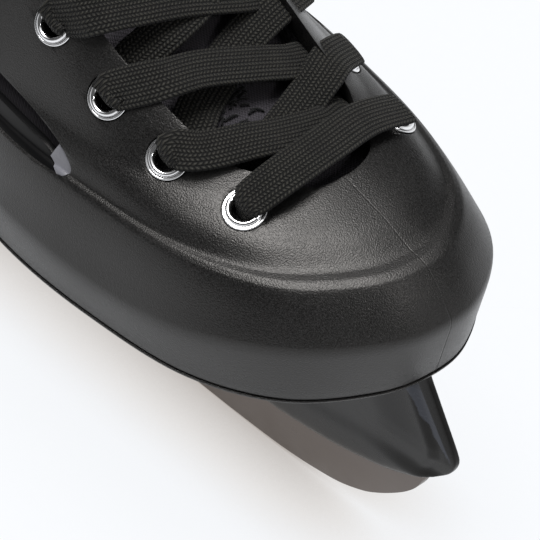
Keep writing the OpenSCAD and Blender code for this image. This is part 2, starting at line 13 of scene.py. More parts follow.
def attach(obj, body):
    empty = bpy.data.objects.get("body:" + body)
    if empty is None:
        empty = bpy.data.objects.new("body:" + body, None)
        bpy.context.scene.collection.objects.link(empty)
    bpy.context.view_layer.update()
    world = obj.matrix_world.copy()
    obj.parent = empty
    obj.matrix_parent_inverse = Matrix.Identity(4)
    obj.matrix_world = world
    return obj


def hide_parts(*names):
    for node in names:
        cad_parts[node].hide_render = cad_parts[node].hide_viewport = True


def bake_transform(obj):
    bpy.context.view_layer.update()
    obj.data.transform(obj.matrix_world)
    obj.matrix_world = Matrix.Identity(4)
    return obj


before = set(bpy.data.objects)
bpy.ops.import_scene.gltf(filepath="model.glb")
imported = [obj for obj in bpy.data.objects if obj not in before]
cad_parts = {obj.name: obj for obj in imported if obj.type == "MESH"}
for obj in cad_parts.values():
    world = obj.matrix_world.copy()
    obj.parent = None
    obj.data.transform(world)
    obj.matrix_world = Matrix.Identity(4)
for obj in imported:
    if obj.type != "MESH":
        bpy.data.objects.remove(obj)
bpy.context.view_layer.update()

MM = 0.001
SCENE = bpy.context.scene

# ---- sizes, in millimetres

BOOT_LENGTH = 290
HEEL_X = -145
LID_Z = 130
SHELL_TOP = 190
EYE_HOLE_R, EYE_SEAT_R = 4.0, 5.95
SHELL_REACH, CUFF_REACH = 70, 90
SHELL_WALL = 3.5
SOLE_Z = 68
HEEL_RISE = 10
EDGE_DROP = 7
LACE_WIDTH = 11.2
LACE_END_WIDTH = 10
LACE_THICK = 1.8
LACE_COLUMNS = 10
STITCH_LENGTH = 1.02
LACE_STEP = 0.7
TIP_WIDTH, TIP_THICK, TIP_TAPER = 3.4, 3.2, 9
KNOT_WIDTH, KNOT_STEPS = 8.5, 40
PIVOT = (-78, 148)
PIVOT_R = 5
RUNNER_THICK = 3
RAIL_THICK = 9
OUTLINE_STEPS = 9
ROLL_Z = 264
STRAP_Z = 225
STRAP_OFFSET = 7.6
STRAP_BACK = -51
TOOTH_PITCH = 3.2

BOOT_OUTLINE = [
    (-145, 0), (-137, -22), (-112, -36), (-65, -39), (-10, -45),
    (38, -52), (74, -52), (104, -48), (127, -36.5), (141, -18),
    (145, -3), (142.5, 11), (130, 26), (107, 36), (78, 42),
    (40, 46), (-10, 46), (-65, 42), (-112, 38), (-137, 23),
]
ANKLE_OUTLINE = [
    (-145, 0), (-136, -20), (-112, -33), (-70, -40), (-20, -42),
    (38, -38), (78, -32), (108, -25), (128, -18), (141, -9),
    (145, 0), (141, 9), (128, 18), (108, 25), (78, 32),
    (38, 38), (-20, 42), (-70, 40), (-112, 33), (-136, 20),
]
# Height, front x, back x, share of the outline's width, share of the heel's rise, rounding share.
SHELL_LEVELS = [
    (SOLE_Z, 138.5, -139, 0.975, 1, 0),
    (89.5, 145, -145, 1, 0.85, 0.16),
    (97, 140.6, -144.4, 0.94, 0.73, 0.5),
    (101.8, 136.2, -143.4, 0.892, 0.64, 0.25),
    (102.9, 133.4, -143.1, 0.872, 0.6, 0.3),
    (103.1, 129.8, -143, 0.85, 0.57, 0.35),
    (107, 121.5, -142.6, 0.825, 0.45, 0.4),
    (110, 110.5, -142.3, 0.795, 0.3, 0.5),
    (112, 103, -142, 0.765, 0.2, 0.5),
    (120, 88, -141.5, 0.72, 0, 0.5),
    (130, 72, -141, 0.665, 0, 0.5),
    (140, 57, -140, 0.61, 0, 0.5),
    (150, 43, -138.5, 0.56, 0, 0.5),
    (160, 30, -137, 0.52, 0, 0.5),
    (172, 17, -135.5, 0.5, 0, 0.5),
    (190, 5, -133, 0.5, 0, 0),
]
ANKLE_LEVELS = [
    (128, 72, -141, 0.665, 0, 0),
    (150, 43, -138.5, 0.56, 0, 0.5),
    (172, 17, -135.5, 0.5, 0, 0.5),
    (190, 5, -133, 0.5, 0, 0.5),
    (210, 0, -131, 0.5, 0, 0.5),
    (235, 2, -129, 0.5, 0, 0.5),
    (258, 8, -128, 0.5, 0, 0.5),
    (290, 17, -127, 0.5, 0, 0),
]
# Edge of the throat from above: along the outer side, round the toe end, back along the inner side.
THROAT = [
    (-14, 24), (0, 23), (20, 21), (50, 19.5), (70, 18.5), (84, 18), (90, 16), (101, 11.5), (105, 6),
    (106, -1), (104, -10), (93, -18.5), (87, -22), (76, -24.5), (60, -26.5), (40, -27), (0, -27),
    (-14, -27),
]
TONGUE_GAP = [
    (-22, 24), (18, 21.5), (55, 19.5), (75, 19.5), (88, 19), (98, 17.5), (104, 15.5), (112, 11),
    (112, -11), (104, -15.5), (98, -19.5), (88, -24), (75, -26.5), (55, -26.5), (18, -25.5), (-22, -24.5),
]
# Side slot, seen from the side, and the line that parts its textile half from its plastic half.
SLOT = [
    (52, 102.3), (46, 108.5), (17, 113.3), (-20, 116), (-32, 114), (-36, 108.5), (-29, 104), (20, 101.3),
]
SLOT_MIDDLE = [(-40, 109.6), (-20, 109.4), (10, 107.6), (38, 105.6), (44.5, 104.6)]
# Eyelets from the toe up: position, lean to the side and lean to the front in degrees.
EYES_RIGHT = [
    (98, -26, 109.6, 22, 15), (75.5, -31, 114.5, 38, 18), (55, -32.3, 121.6, 50, 14),
    (34, -31.5, 131.6, 54, 11), (14, -30.5, 140.7, 62, 7),
]
EYES_LEFT = [
    (96, 24, 108.3, -31, 13), (73.5, 26.3, 112.7, -48, 15), (54, 26.7, 120.4, -58, 12),
    (34, 27, 128.6, -64, 9), (14, 27, 138.1, -70, 8),
]
# Tongue: x, height, middle y, half width and droop of the edges at each station.
TONGUE_LINE = [
    (112, 103, 0, 11, 1.5), (104, 105.5, 0, 15, 2), (98, 107, -1, 18, 2.5), (88, 109.5, -2.5, 21, 3),
    (75, 113, -3.5, 22.5, 3.5), (55, 121, -3.5, 22.5, 4.5), (34, 131, -3, 22, 5), (18, 141, -2.5, 22, 5.5),
    (6, 153, -2, 22, 6), (-1, 168, -1, 22, 6.5), (-4, 185, 0, 22, 7), (-4, 205, 0, 21.5, 7.5),
    (-1, 225, 0, 21.5, 7.5), (4, 250, 0, 21.5, 7), (11, 279, 0, 24, 6),
]
TONGUE_THICK = 6
STITCH_AT = (70.5, -8.5)
STITCH_SPREAD = (14, 12)
STITCH_COUNT = 34
HOLDER_SIDE = [
    (118, 66.8), (133, 66.6), (136, 62.5), (139.9, 55), (145.4, 44), (145.5, 40.5), (143, 36.4), (138, 32.8),
    (128, 27.8), (119, 24.4), (106, 20.7), (97, 18.8), (88, 17.4), (78, 16.3), (60, 15.6), (0, 16.3),
    (-80, 17), (-118, 19), (-140, 24), (-149, 32), (-149, 40), (-142, 62), (-136, 76), (-126, 77), (-68, 77),
    (-57, 75), (-50, 62), (-42, 44), (-32, 35), (-20, 33.5), (8, 33.5), (18, 35), (28, 44), (37, 58),
    (43, 65.5), (54, 66.8),
]
# Side outline of the thicker rail that holds the runner, and the front edge from the bottom up as (z, x).
RAIL_SIDE = [
    (137, 33.6), (126, 33.6), (116, 33), (95, 28.5), (60, 26.5), (-100, 28), (-146, 34), (-148, 30),
    (-139, 24.4), (-118, 19.4), (-80, 17.4), (0, 16.7), (60, 16), (85, 17.3), (105, 20.9), (120, 25),
]
NOSE_EDGE = [(30, 138), (36, 143), (40.5, 145.5), (44, 145.4), (55, 139.9), (62.5, 136), (68, 133)]
FRONT_PAD = [
    (129, -7), (121, -20), (105, -30), (70, -33), (40, -28), (38, 0), (40, 28), (70, 33), (105, 28),
    (121, 18), (129, 7),
]
REAR_PAD = [
    (-136, -10), (-130, -22), (-112, -27), (-75, -27), (-55, -24), (-52, 0), (-55, 24), (-75, 27),
    (-112, 27), (-130, 22), (-136, 10),
]
RUNNER_SIDE = [
    (-60, 0), (45, 0), (62, 0.1), (75, 0.5), (84, 1.2), (93, 2.5), (102.3, 4.5), (111.2, 8), (117, 11.4),
    (122.8, 15.6), (128, 20), (132, 24.5), (134, 29), (131, 33), (60, 27), (0, 26.5), (-80, 27), (-139, 32),
    (-147, 26), (-145, 18), (-136, 9), (-120, 3.5), (-95, 1),
]
CUFF_SIDE = [
    (-170, 268), (-112, 272), (-60, 262), (-12, 258), (-7, 246), (-8, 225), (-14, 200), (-25, 176),
    (-42, 152), (-58, 135), (-70, 128.5), (-86, 128.5), (-98, 138), (-112, 154), (-132, 162), (-170, 162),
]
CUFF_INSIDE, CUFF_OUTSIDE = 3.5, 7.0

# Free lace ends, from the knot down, as in the CAD.
END_ROUTE_RIGHT = [
    (9, -10, 160), (8, -15.5, 159), (7, -21, 156.5), (5.5, -27, 152.5), (4, -32, 147.5),
    (2.5, -37, 140.5), (1, -41, 133), (0.5, -43.8, 126), (0, -45.8, 119), (1, -47.3, 113),
    (2, -48.3, 107), (2.6, -48.8, 100), (3, -49, 93), (3.2, -49, 86.5), (3.3, -49, 80),
]
END_ROUTE_LEFT = [
    (9, 6, 160), (8, 11.5, 159), (7, 17, 156.5), (5.5, 23, 152.5), (4, 28.3, 148),
    (2.5, 33.8, 141.5), (1, 38.8, 134), (0.5, 42.8, 127), (0, 46, 120), (1, 48.3, 114.5),
    (2, 49.8, 109), (2.6, 50.6, 102.5), (3, 51, 96), (3.2, 51, 89), (3.3, 51, 82),
]
# Each crossing of the lace: from under the throat's edge, over the tongue, to the next eyelet.
CROSS_RIGHT_START = [
    ("left", 1, [(87.1, -15, 110), (86.1, -7.7, 112), (83.6, 0.8, 113.6), (81.7, 8.4, 115.8),
                 (80.2, 14, 117.8), (77.4, 20.6, 118.4)]),
    ("right", 2, [(71.1, 19.2, 114.5), (71.5, 11.5, 118.5), (69.3, 0.5, 122.6), (65.7, -12.2, 126),
                  (63.7, -23.2, 127.6)]),
    ("left", 3, [(51.4, -22.6, 124), (51.9, -17.1, 127.5), (52.6, -10.8, 130.5), (51.5, -1.9, 133),
                 (47, 8, 135), (41, 17, 134.5)]),
    ("right", 4, [(33.5, 19.5, 134.5), (33.5, 9, 140), (30, -3, 144.5), (26, -16, 147), (20.5, -26, 147)]),
]
CROSS_LEFT_START = [
    ("right", 1, [(89, 15.6, 111), (90.8, 7.2, 113.8), (89.6, -4.4, 116.2), (87, -15, 118.2),
                  (82, -25.6, 118)]),
    ("left", 2, [(71.1, -20.1, 114.5), (67.8, -14.4, 117), (64.5, -6.7, 119), (61.4, 2.4, 121.5),
                 (60.2, 10, 124), (58.8, 18.6, 125.4)]),
    ("right", 3, [(52.5, 19, 124.5), (53.2, 9, 130), (50.3, -5.3, 135), (47, -18.3, 137.4), (43, -28, 138)]),
    ("left", 4, [(32.5, -22, 134), (31, -11, 140), (28, 1, 144.5), (23, 12, 146.6), (18.5, 21, 145.5)]),
]
KNOT = (8, -2, 161)

# ---- curves and meshes


def smooth(low, high, x):
    t = np.clip((np.asarray(x, float) - low) / (high - low), 0.0, 1.0)
    return t * t * (3 - 2 * t)


def spline(points, steps, closed=False):
    """Catmull-Rom curve through the points."""
    p = np.asarray(points, float)
    p = np.vstack([p[-1], p, p[:2]]) if closed else np.vstack([2 * p[0] - p[1], p, 2 * p[-1] - p[-2]])
    t = (np.arange(steps) / steps)[:, None]
    curve = np.vstack([
        0.5 * (2 * b + (c - a) * t + (2 * a - 5 * b + 4 * c - d) * t ** 2 + (3 * b - a - 3 * c + d) * t ** 3)
        for a, b, c, d in zip(p, p[1:], p[2:], p[3:])
    ])
    return curve if closed else np.vstack([curve, p[-2]])


def travel(path):
    """How far along the path each of its points lies."""
    return np.concatenate([[0], np.cumsum(np.linalg.norm(np.diff(path[:, :3], axis=0), axis=1))])


def resample(path, step):
    """The path's points at an even spacing, and how far along each one lies."""
    run = travel(path)
    marks = np.linspace(0, run[-1], max(3, round(run[-1] / step) + 1))
    return np.column_stack([np.interp(marks, run, column) for column in path.T]), marks


def unit(vectors):
    vectors = np.asarray(vectors, float)
    return vectors / np.linalg.norm(vectors, axis=-1, keepdims=True)


def mesh_object(name, points, faces, scale=MM):
    mesh = bpy.data.meshes.new(name)
    mesh.from_pydata([tuple(p) for p in np.asarray(points, float) * scale], [], faces)
    mesh.update()
    obj = bpy.data.objects.new(name, mesh)
    SCENE.collection.objects.link(obj)
    return obj


def outward(obj):
    bm = bmesh.new()
    bm.from_mesh(obj.data)
    bmesh.ops.recalc_face_normals(bm, faces=bm.faces)
    bm.to_mesh(obj.data)
    bm.free()
    return obj


def sides(rows, n):
    """Quads between closed rings of n points."""
    return [
        (j * n + i, j * n + (i + 1) % n, (j + 1) * n + (i + 1) % n, (j + 1) * n + i)
        for j in range(rows - 1) for i in range(n)
    ]


def wall_faces(rows, n):
    """Faces of a wall whose last ring joins its first."""
    last = (rows - 1) * n
    return sides(rows, n) + [(last + i, last + (i + 1) % n, (i + 1) % n, i) for i in range(n)]


def tube_faces(rows, n):
    """Faces of a tube with a flat face at each end."""
    last = (rows - 1) * n
    return sides(rows, n) + [tuple(range(n)), tuple(range(last, last + n))]


def strip_cap(start, n):
    """A ring that starts at a symmetry line is closed by strips from side to side."""
    half = n // 2
    faces = [(start, start + 1, start + n - 1)]
    faces += [(start + i, start + i + 1, start + n - i - 1, start + n - i) for i in range(1, half - 1)]
    return faces + [(start + half - 1, start + half, start + half + 1)]


def ring_solid(name, rings):
    """Closed solid through rings that start at the heel."""
    n = len(rings[0])
    faces = sides(len(rings), n) + strip_cap(0, n) + strip_cap((len(rings) - 1) * n, n)
    return outward(mesh_object(name, np.vstack(rings), faces))


def wall_solid(name, rings):
    """Closed wall through rings that end where they began."""
    return outward(mesh_object(name, np.vstack(rings), wall_faces(len(rings), len(rings[0]))))


def tube_solid(name, rings):
    """Closed solid through any rings, with a flat face at each end."""
    return outward(mesh_object(name, np.vstack(rings), tube_faces(len(rings), len(rings[0]))))


def prism(name, outline, low, high, axis):
    """Outline in the other two axes, drawn out along axis from low to high."""
    flat = np.asarray(outline, float)
    rings = [np.insert(flat, "xyz".index(axis), level, axis=1) for level in (low, high)]
    return tube_solid(name, rings)


def across(name, outline, reach):
    """Outline seen from the side, drawn out as far to the left as to the right."""
    return prism(name, outline, -reach, reach, "y")


def circle(radius, steps=48):
    angle = np.arange(steps) * 2 * math.pi / steps
    return np.column_stack([radius * np.cos(angle), radius * np.sin(angle)])


def lathe(profile, steps=64, closed=True):
    """Points and faces of a closed profile (radius, height) turned about Z."""
    turn = circle(1, steps)
    points = np.vstack([np.column_stack([turn * r, np.full(steps, h)]) for r, h in profile])
    return points, (wall_faces if closed else tube_faces)(len(profile), steps)


def joined(parts):
    """Points and faces of several parts together; each part starts with its points and faces."""
    faces, start = [], 0
    for points, part_faces, *_ in parts:
        faces += [tuple(start + i for i in face) for face in part_faces]
        start += len(points)
    return np.vstack([part[0] for part in parts]), faces


def join_parts(name, parts):
    return outward(mesh_object(name, *joined(parts)))


def bake(obj):
    """Applies the modifiers to the mesh."""
    depsgraph = bpy.context.evaluated_depsgraph_get()
    baked = bpy.data.meshes.new_from_object(obj.evaluated_get(depsgraph))
    obj.modifiers.clear()
    old, obj.data = obj.data, baked
    bpy.data.meshes.remove(old)
    return obj


def combine(obj, *others, operation="DIFFERENCE"):
    """Cuts obj with the other solids, or keeps what they share, and removes them."""
    for other in others:
        change = obj.modifiers.new(operation.title(), "BOOLEAN")
        change.operation, change.object, change.solver = operation, other, "EXACT"
    bake(obj)
    for other in others:
        bpy.data.objects.remove(other)
    return obj


def bevel(obj, width, segments, angle):
    change = obj.modifiers.new("Round", "BEVEL")
    change.width, change.segments = width * MM, segments
    change.limit_method, change.angle_limit = "ANGLE", math.radians(angle)


def round_edges(obj, width, segments, angle=32):
    bevel(obj, width, segments, angle)
    return bake(obj)


def shade(obj, sharp=35):
    obj.data.shade_smooth()
    obj.data.set_sharp_from_angle(angle=math.radians(sharp))
    return obj


def finish_piece(obj, material, slot_name, body, *nodes):
    """Material, body and the CAD nodes that the piece stands for; the slot_name argument is not used."""
    obj.data.materials.clear()
    obj.data.materials.append(material)
    if nodes:
        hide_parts(*nodes)
    if body:
        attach(obj, body)
    return obj


# ---- the boot's rings

BOOT_CURVE = spline(BOOT_OUTLINE, OUTLINE_STEPS, closed=True)
ANKLE_CURVE = spline(ANKLE_OUTLINE, OUTLINE_STEPS, closed=True)


def rise(x):
    return HEEL_RISE * (1 - smooth(-52, 25, x))


def lid(x):
    return 1 - 0.37 * (1 - smooth(-130, -20, x))


def ring(level, off=0.0, lidded=False):
    """One ring of the boot at a level, moved outwards by off; lidded rings dip towards the heel.

    Rings near the shell's bottom edge drop by up to EDGE_DROP behind the toe.
    """
    z, front, back, width, rise_share = level[:5]
    x = back + (BOOT_CURVE[:, 0] - HEEL_X) * (front - back) / BOOT_LENGTH
    narrow = width + (1 - width) * (1 - smooth(-60, 10, x))
    to_ankle = smooth(120, 190, z)
    y = BOOT_CURVE[:, 1] * narrow * (1 - to_ankle) + ANKLE_CURVE[:, 1] * to_ankle
    flat = np.column_stack([x, y])
    tangent = unit(np.roll(flat, -1, 0) - np.roll(flat, 1, 0))
    normal = np.column_stack([tangent[:, 1], -tangent[:, 0]])
    up = LID_Z + (z - LID_Z) * lid(x) if lidded and z > LID_Z else np.full(len(x), float(z))
    up = up - EDGE_DROP * smooth(SOLE_Z, 88, z) * (1 - smooth(90, 102, z)) * (1 - smooth(70, 132, x))
    lift = off * smooth(90, 108, z) * smooth(-30, 40, x) * 0.8
    return np.column_stack([flat + off * normal, up + lift + rise(x) * rise_share])


def level_at(levels, z):
    table = np.asarray(levels, float)
    return [z] + [float(np.interp(z, table[:, 0], table[:, k])) for k in range(1, 5)]


def rounded_levels(levels, spacing=2.2):
    """Close rows through the levels, with the bends between them rounded by each one's own share."""
    table = np.asarray(levels, float)
    body, share = table[:, :5], table[:, 5]
    rows = [body[0]]
    for before, here, after, part in zip(body, body[1:], body[2:], share[1:]):
        start, end = here + (before - here) * part, here + (after - here) * part
        for t in np.linspace(0, 1, 6):
            rows.append((1 - t) ** 2 * start + 2 * t * (1 - t) * here + t * t * end)
    rows.append(body[-1])
    close = [rows[0]]
    for row in rows[1:]:
        gap = row[0] - close[-1][0]
        if gap < 0.05:
            continue
        steps = max(1, round(gap / spacing))
        start = close[-1]
        close += [start + (row - start) * k / steps for k in range(1, steps + 1)]
    return close


# ---- materials

# Warm tint of the plastics' reflections: a painted reflection colour that stands in for warm light bounced
# from the floor.
WARM_REFLECTION_TINT = (1.0, 0.965, 0.93)
GRAIN_DEPTH = 0.13
PARTING_Y, PARTING_WIDTH, PARTING_DEPTH = -1.2, 0.3, 0.35
# The holder's front edge from the side: a corner on it, and the direction straight ahead of it.
NOSE_CORNER, NOSE_WAY = (145.4, 43.5), (0.897, 0.4375)
# Colour of the painted highlight streak beside the holder's front edge.
PAINTED_NOSE_HIGHLIGHT = (0.055, 0.06, 0.075, 1)
# Floor: reach of the painted contact shadow in millimetres, then metres and a colour.
FLOOR_PAINTED_SHADOW_REACH = 34
FLOOR_FADE = (0.45, 2.0)
FLOOR_FAR_COLOUR = (0.5, 0.505, 0.515, 1)


class Shader:
    """A node material whose parts are built by short calls."""

    def __init__(self, name, **values):
        self.material = bpy.data.materials.new(name)
        self.material.use_nodes = True
        self.tree = self.material.node_tree
        self.shader = self.tree.nodes["Principled BSDF"]
        for key, value in values.items():
            socket = self.shader.inputs[key.replace("_", " ")]
            socket.default_value = (*value, 1) if isinstance(value, tuple) else value

    def node(self, kind, **settings):
        made = self.tree.nodes.new("ShaderNode" + kind)
        for key, value in settings.items():
            setattr(made, key, value)
        return made

    def feed(self, socket, value):
        if isinstance(value, bpy.types.NodeSocket):
            self.tree.links.new(value, socket)
        else:
            socket.default_value = value

    def math(self, operation, *values):
        made = self.node("Math", operation=operation)
        for socket, value in zip(made.inputs, values):
            self.feed(socket, value)
        return made.outputs[0]

    def times(self, *values):
        return self.math("MULTIPLY", *values)

    def plus(self, *values):
        return self.math("ADD", *values)

    def minus(self, *values):
        return self.math("SUBTRACT", *values)

    def scaled(self, value, factor, added):
        return self.math("MULTIPLY_ADD", value, factor, added)

    def place(self):
        return self.node("TexCoord").outputs["Object"]

    def axes(self, vector):
        made = self.node("SeparateXYZ")
        self.feed(made.inputs[0], vector)
        return made.outputs

    def stretched(self, vector, scale):
        made = self.node("Mapping")
        self.feed(made.inputs["Scale"], scale)
        self.feed(made.inputs["Vector"], vector)
        return made.outputs[0]

    def noise(self, vector, size, detail=2.0, roughness=0.5):
        """Noise whose features are about size millimetres across."""
        made = self.node("TexNoise")
        self.feed(made.inputs["Scale"], 1 / (size * MM))
        self.feed(made.inputs["Detail"], detail)
        self.feed(made.inputs["Roughness"], roughness)
        self.feed(made.inputs["Vector"], vector)
        return made.outputs["Fac"]

    def cells(self, vector, size):
        """Distance from the middle of round cells about size millimetres apart."""
        made = self.node("TexVoronoi")
        self.feed(made.inputs["Scale"], 1 / (size * MM))
        self.feed(made.inputs["Vector"], vector)
        return made.outputs["Distance"]

    def ramp(self, value, low, high, start, end):
        """Moves value's stretch from low to high onto start to end."""
        made = self.node("MapRange")
        for socket, setting in zip(made.inputs, (value, low, high, start, end)):
            self.feed(socket, setting)
        return made.outputs[0]

    def mixed(self, share, first, second):
        """Colour that goes from the first to the second as share goes from 0 to 1."""
        made = self.node("Mix", data_type="RGBA")
        for key, value in (("Factor", share), (6, first), (7, second)):
            self.feed(made.inputs[key], value)
        return made.outputs[2]

    def colours(self, value, *stops):
        """Colour ramp of (position, colour) stops."""
        made = self.node("ValToRGB")
        fill_band(made.color_ramp.elements, stops)
        self.feed(made.inputs[0], value)
        return made.outputs[0]

    def tints(self, value, colour, *stops):
        """Colour ramp of (position, share of the colour) stops."""
        stops = ((position, tuple(c * share for c in colour)) for position, share in stops)
        return self.colours(value, *stops)

    def bump(self, height, depth, strength=1.0, under=None):
        """Relief depth millimetres deep."""
        made = self.node("Bump")
        self.feed(made.inputs["Distance"], depth * MM)
        self.feed(made.inputs["Strength"], strength)
        self.feed(made.inputs["Height"], height)
        if under is not None:
            self.feed(made.inputs["Normal"], under)
        return made.outputs[0]

    def set(self, **sockets):
        for key, value in sockets.items():
            self.feed(self.shader.inputs[key.replace("_", " ")], value)
        return self.material


def fill_band(elements, stops):
    """Sets a colour ramp's stops from (position, colour) pairs."""
    while len(elements) < len(stops):
        elements.new(0.5)
    for element, (position, colour) in zip(elements, stops):
        element.position, element.color = position, (*colour, 1)


def parting_line(s, place):
    """Height that drops to 0 in the groove ahead of the throat, which fades upwards."""
    x, y, z = s.axes(place)
    offset = s.math("ABSOLUTE", s.minus(y, PARTING_Y * MM))
    groove = s.ramp(offset, 0.0, PARTING_WIDTH * MM, 1.0, 0.0)
    ahead = s.ramp(x, 104 * MM, 109 * MM, 0.0, 1.0)
    low = s.ramp(z, 84 * MM, 98 * MM, 1.0, 0.12)
    return s.minus(1.0, s.times(s.times(groove, ahead), low))


def grained_plastic(name, colour, roughness, parting=False):
    """Moulded plastic with a fine sand grain, faint handling marks and, on the shell, its parting line."""
    s = Shader(name, Specular_IOR_Level=0.44, Specular_Tint=WARM_REFLECTION_TINT)
    place = s.place()
    fine = s.noise(place, 0.36, detail=1, roughness=0.5)
    broad = s.noise(place, 26, detail=3)
    specks = s.ramp(s.cells(place, 0.8), 0.05, 0.2, 1.0, 0.0)
    grain = s.minus(fine, 0.5)
    tone = s.plus(s.times(specks, 0.5), s.scaled(grain, 1.6, s.scaled(broad, 0.3, 0.2)))
    rough = s.plus(s.ramp(broad, 0.3, 0.7, roughness - 0.045, roughness + 0.045), s.times(grain, 0.3))
    relief = s.bump(s.plus(fine, s.times(specks, 0.12)), GRAIN_DEPTH, 0.8)
    if parting:
        relief = s.bump(parting_line(s, place), PARTING_DEPTH, 0.8, under=relief)
    return s.set(Base_Color=s.tints(tone, colour, (0.1, 0.45), (0.9, 2.6)), Roughness=rough, Normal=relief)


def painted_nose_highlight_mask(s, place):
    """Mask of the painted highlight: a light streak beside the holder's front edge, widest at the top and
    ragged at the back.
    """
    x, _, z = s.axes(place)
    (corner_x, corner_z), (way_x, way_z) = NOSE_CORNER, NOSE_WAY
    behind = s.plus(s.scaled(x, -way_x / MM, way_x * corner_x), s.scaled(z, -way_z / MM, way_z * corner_z))
    high = s.ramp(z, 42 * MM, 60 * MM, 0.0, 1.0)
    ragged = s.scaled(s.noise(place, 3.2, detail=2), 2.4, -1.2)
    back = s.plus(s.scaled(high, 5.2, 2.6), ragged)
    front = s.scaled(high, 1.6, 1.3)
    within = s.times(s.ramp(s.minus(back, behind), 0.0, 0.5, 0.0, 1.0),
                     s.ramp(s.minus(behind, front), 0.0, 0.4, 0.0, 1.0))
    ends = s.times(s.ramp(z, 41 * MM, 43.5 * MM, 0.0, 1.0), s.ramp(z, 59 * MM, 62.5 * MM, 1.0, 0.0))
    return s.times(within, ends)


def satin_plastic(name, colour, roughness, coat=0.0, gloss=0.5, painted_nose_highlight=False):
    """Smooth moulded plastic: soft flow marks, fine scratches and a slightly uneven gloss; on the holder, a
    painted highlight streak beside the front edge.
    """
    s = Shader(name, Specular_IOR_Level=gloss, Specular_Tint=WARM_REFLECTION_TINT, Coat_Weight=coat, Coat_Roughness=0.08)
    place = s.place()
    flow = s.noise(place, 17, detail=2)
    scratch = s.noise(s.stretched(place, (0.12, 1, 1)), 0.7, detail=4, roughness=0.7)
    dust = s.ramp(s.noise(place, 0.6, detail=2), 0.66, 0.78, 0.0, 1.0)
    tone = s.scaled(dust, 0.3, s.times(flow, 0.8))
    rough = s.plus(s.ramp(flow, 0.3, 0.7, roughness - 0.04, roughness + 0.05),
                   s.times(s.ramp(scratch, 0.55, 0.75, 0.0, 1.0), 0.1))
    relief = s.bump(s.plus(flow, s.times(scratch, 0.06)), 0.35, 0.35)
    shown = s.tints(tone, colour, (0.1, 0.7), (0.95, 1.5))
    # Painted highlight: a light blue-grey streak beside the holder's front edge, in the base colour.
    if painted_nose_highlight:
        shown = s.mixed(painted_nose_highlight_mask(s, place), shown, PAINTED_NOSE_HIGHLIGHT)
    return s.set(Base_Color=shown, Roughness=rough, Normal=relief)


def metal(name, colour, roughness, brushed=(1, 1, 1), mark=0.4, relief=0.02):
    """Metal with a grain that follows brushed and small stains."""
    s = Shader(name, Metallic=1.0)
    place = s.place()
    grain = s.noise(s.stretched(place, brushed), mark, detail=4, roughness=0.65)
    stain = s.noise(place, 9, detail=3)
    tone = s.scaled(stain, 0.55, s.times(grain, 0.45))
    rough = s.plus(s.ramp(stain, 0.3, 0.7, roughness * 0.8, roughness * 1.15),
                   s.times(s.minus(grain, 0.5), roughness * 0.5))
    return s.set(Base_Color=s.tints(tone, colour, (0.25, 0.8), (0.75, 1)), Roughness=rough,
                 Normal=s.bump(grain, relief, 0.5))


def lace_braid():
    """Flat braid: columns of stitches that slant by turns; the UV map is in millimetres. Its colour is
    painted shade in the gaps between stitches and painted light on their tops.
    """
    s = Shader("lace_braid", Sheen_Weight=0.03, Sheen_Roughness=0.4, Specular_IOR_Level=0.3)
    sideways, run, _ = s.axes(s.node("UVMap", uv_map="Braid").outputs[0])
    column = s.times(sideways, LACE_COLUMNS / LACE_WIDTH)
    within = s.math("FRACT", column)
    count = s.math("FLOOR", column)
    turn = s.minus(s.times(s.math("FLOORED_MODULO", count, 2.0), 2.0), 1.0)
    shear = s.times(s.times(s.minus(within, 0.5), turn), 0.5)
    along = s.plus(s.times(run, 1 / STITCH_LENGTH), s.plus(shear, s.times(count, 0.5)))
    strand = s.math("SINE", s.times(s.math("FRACT", along), math.pi))
    ridge = s.math("SINE", s.times(within, math.pi))
    height = s.math("POWER", s.times(strand, ridge), 0.6)
    place = s.place()
    fibre = s.noise(place, 0.16, detail=2)
    patch = s.noise(place, 5, detail=2)
    # Painted shade and light: the colour follows stitch height, dark down in the gaps and light on the tops,
    # over random fibre and patch tone.
    tone = s.times(height, s.scaled(fibre, 0.7, s.scaled(patch, 0.5, 0.4)))
    colour = s.colours(tone, (0.25, (0.0008, 0.0008, 0.0007)), (0.6, (0.0055, 0.0052, 0.0043)),
                       (0.95, (0.026, 0.0245, 0.0195)))
    relief = s.bump(height, 0.5, 1.0, under=s.bump(fibre, 0.08, 0.4))
    return s.set(Base_Color=colour, Roughness=s.ramp(height, 0, 1, 0.95, 0.62), Normal=relief)


def woven(name, colour, pitch, sheen=0.1):
    """Plain cloth in threads pitch millimetres apart, across X with Z and along Y."""
    s = Shader(name, Sheen_Weight=sheen, Sheen_Roughness=0.5, Specular_IOR_Level=0.2)
    place = s.place()
    x, y, z = s.axes(place)
    turns = math.pi / (pitch * MM)
    first = s.math("SINE", s.times(y, turns))
    second = s.math("SINE", s.times(s.plus(x, s.times(z, 0.8)), turns))
    weave = s.scaled(s.times(first, second), 0.5, 0.5)
    fuzz = s.noise(place, 0.22, detail=3)
    worn = s.noise(place, 11, detail=3)
    tone = s.plus(s.times(weave, 0.45), s.plus(s.times(fuzz, 0.35), s.times(worn, 0.2)))
    relief = s.bump(weave, 0.12, 0.8, under=s.bump(fuzz, 0.1, 0.4))
    return s.set(Base_Color=s.tints(tone, colour, (0.2, 0.35), (0.85, 1.7)),
                 Roughness=s.ramp(tone, 0, 1, 0.95, 0.75), Normal=relief)


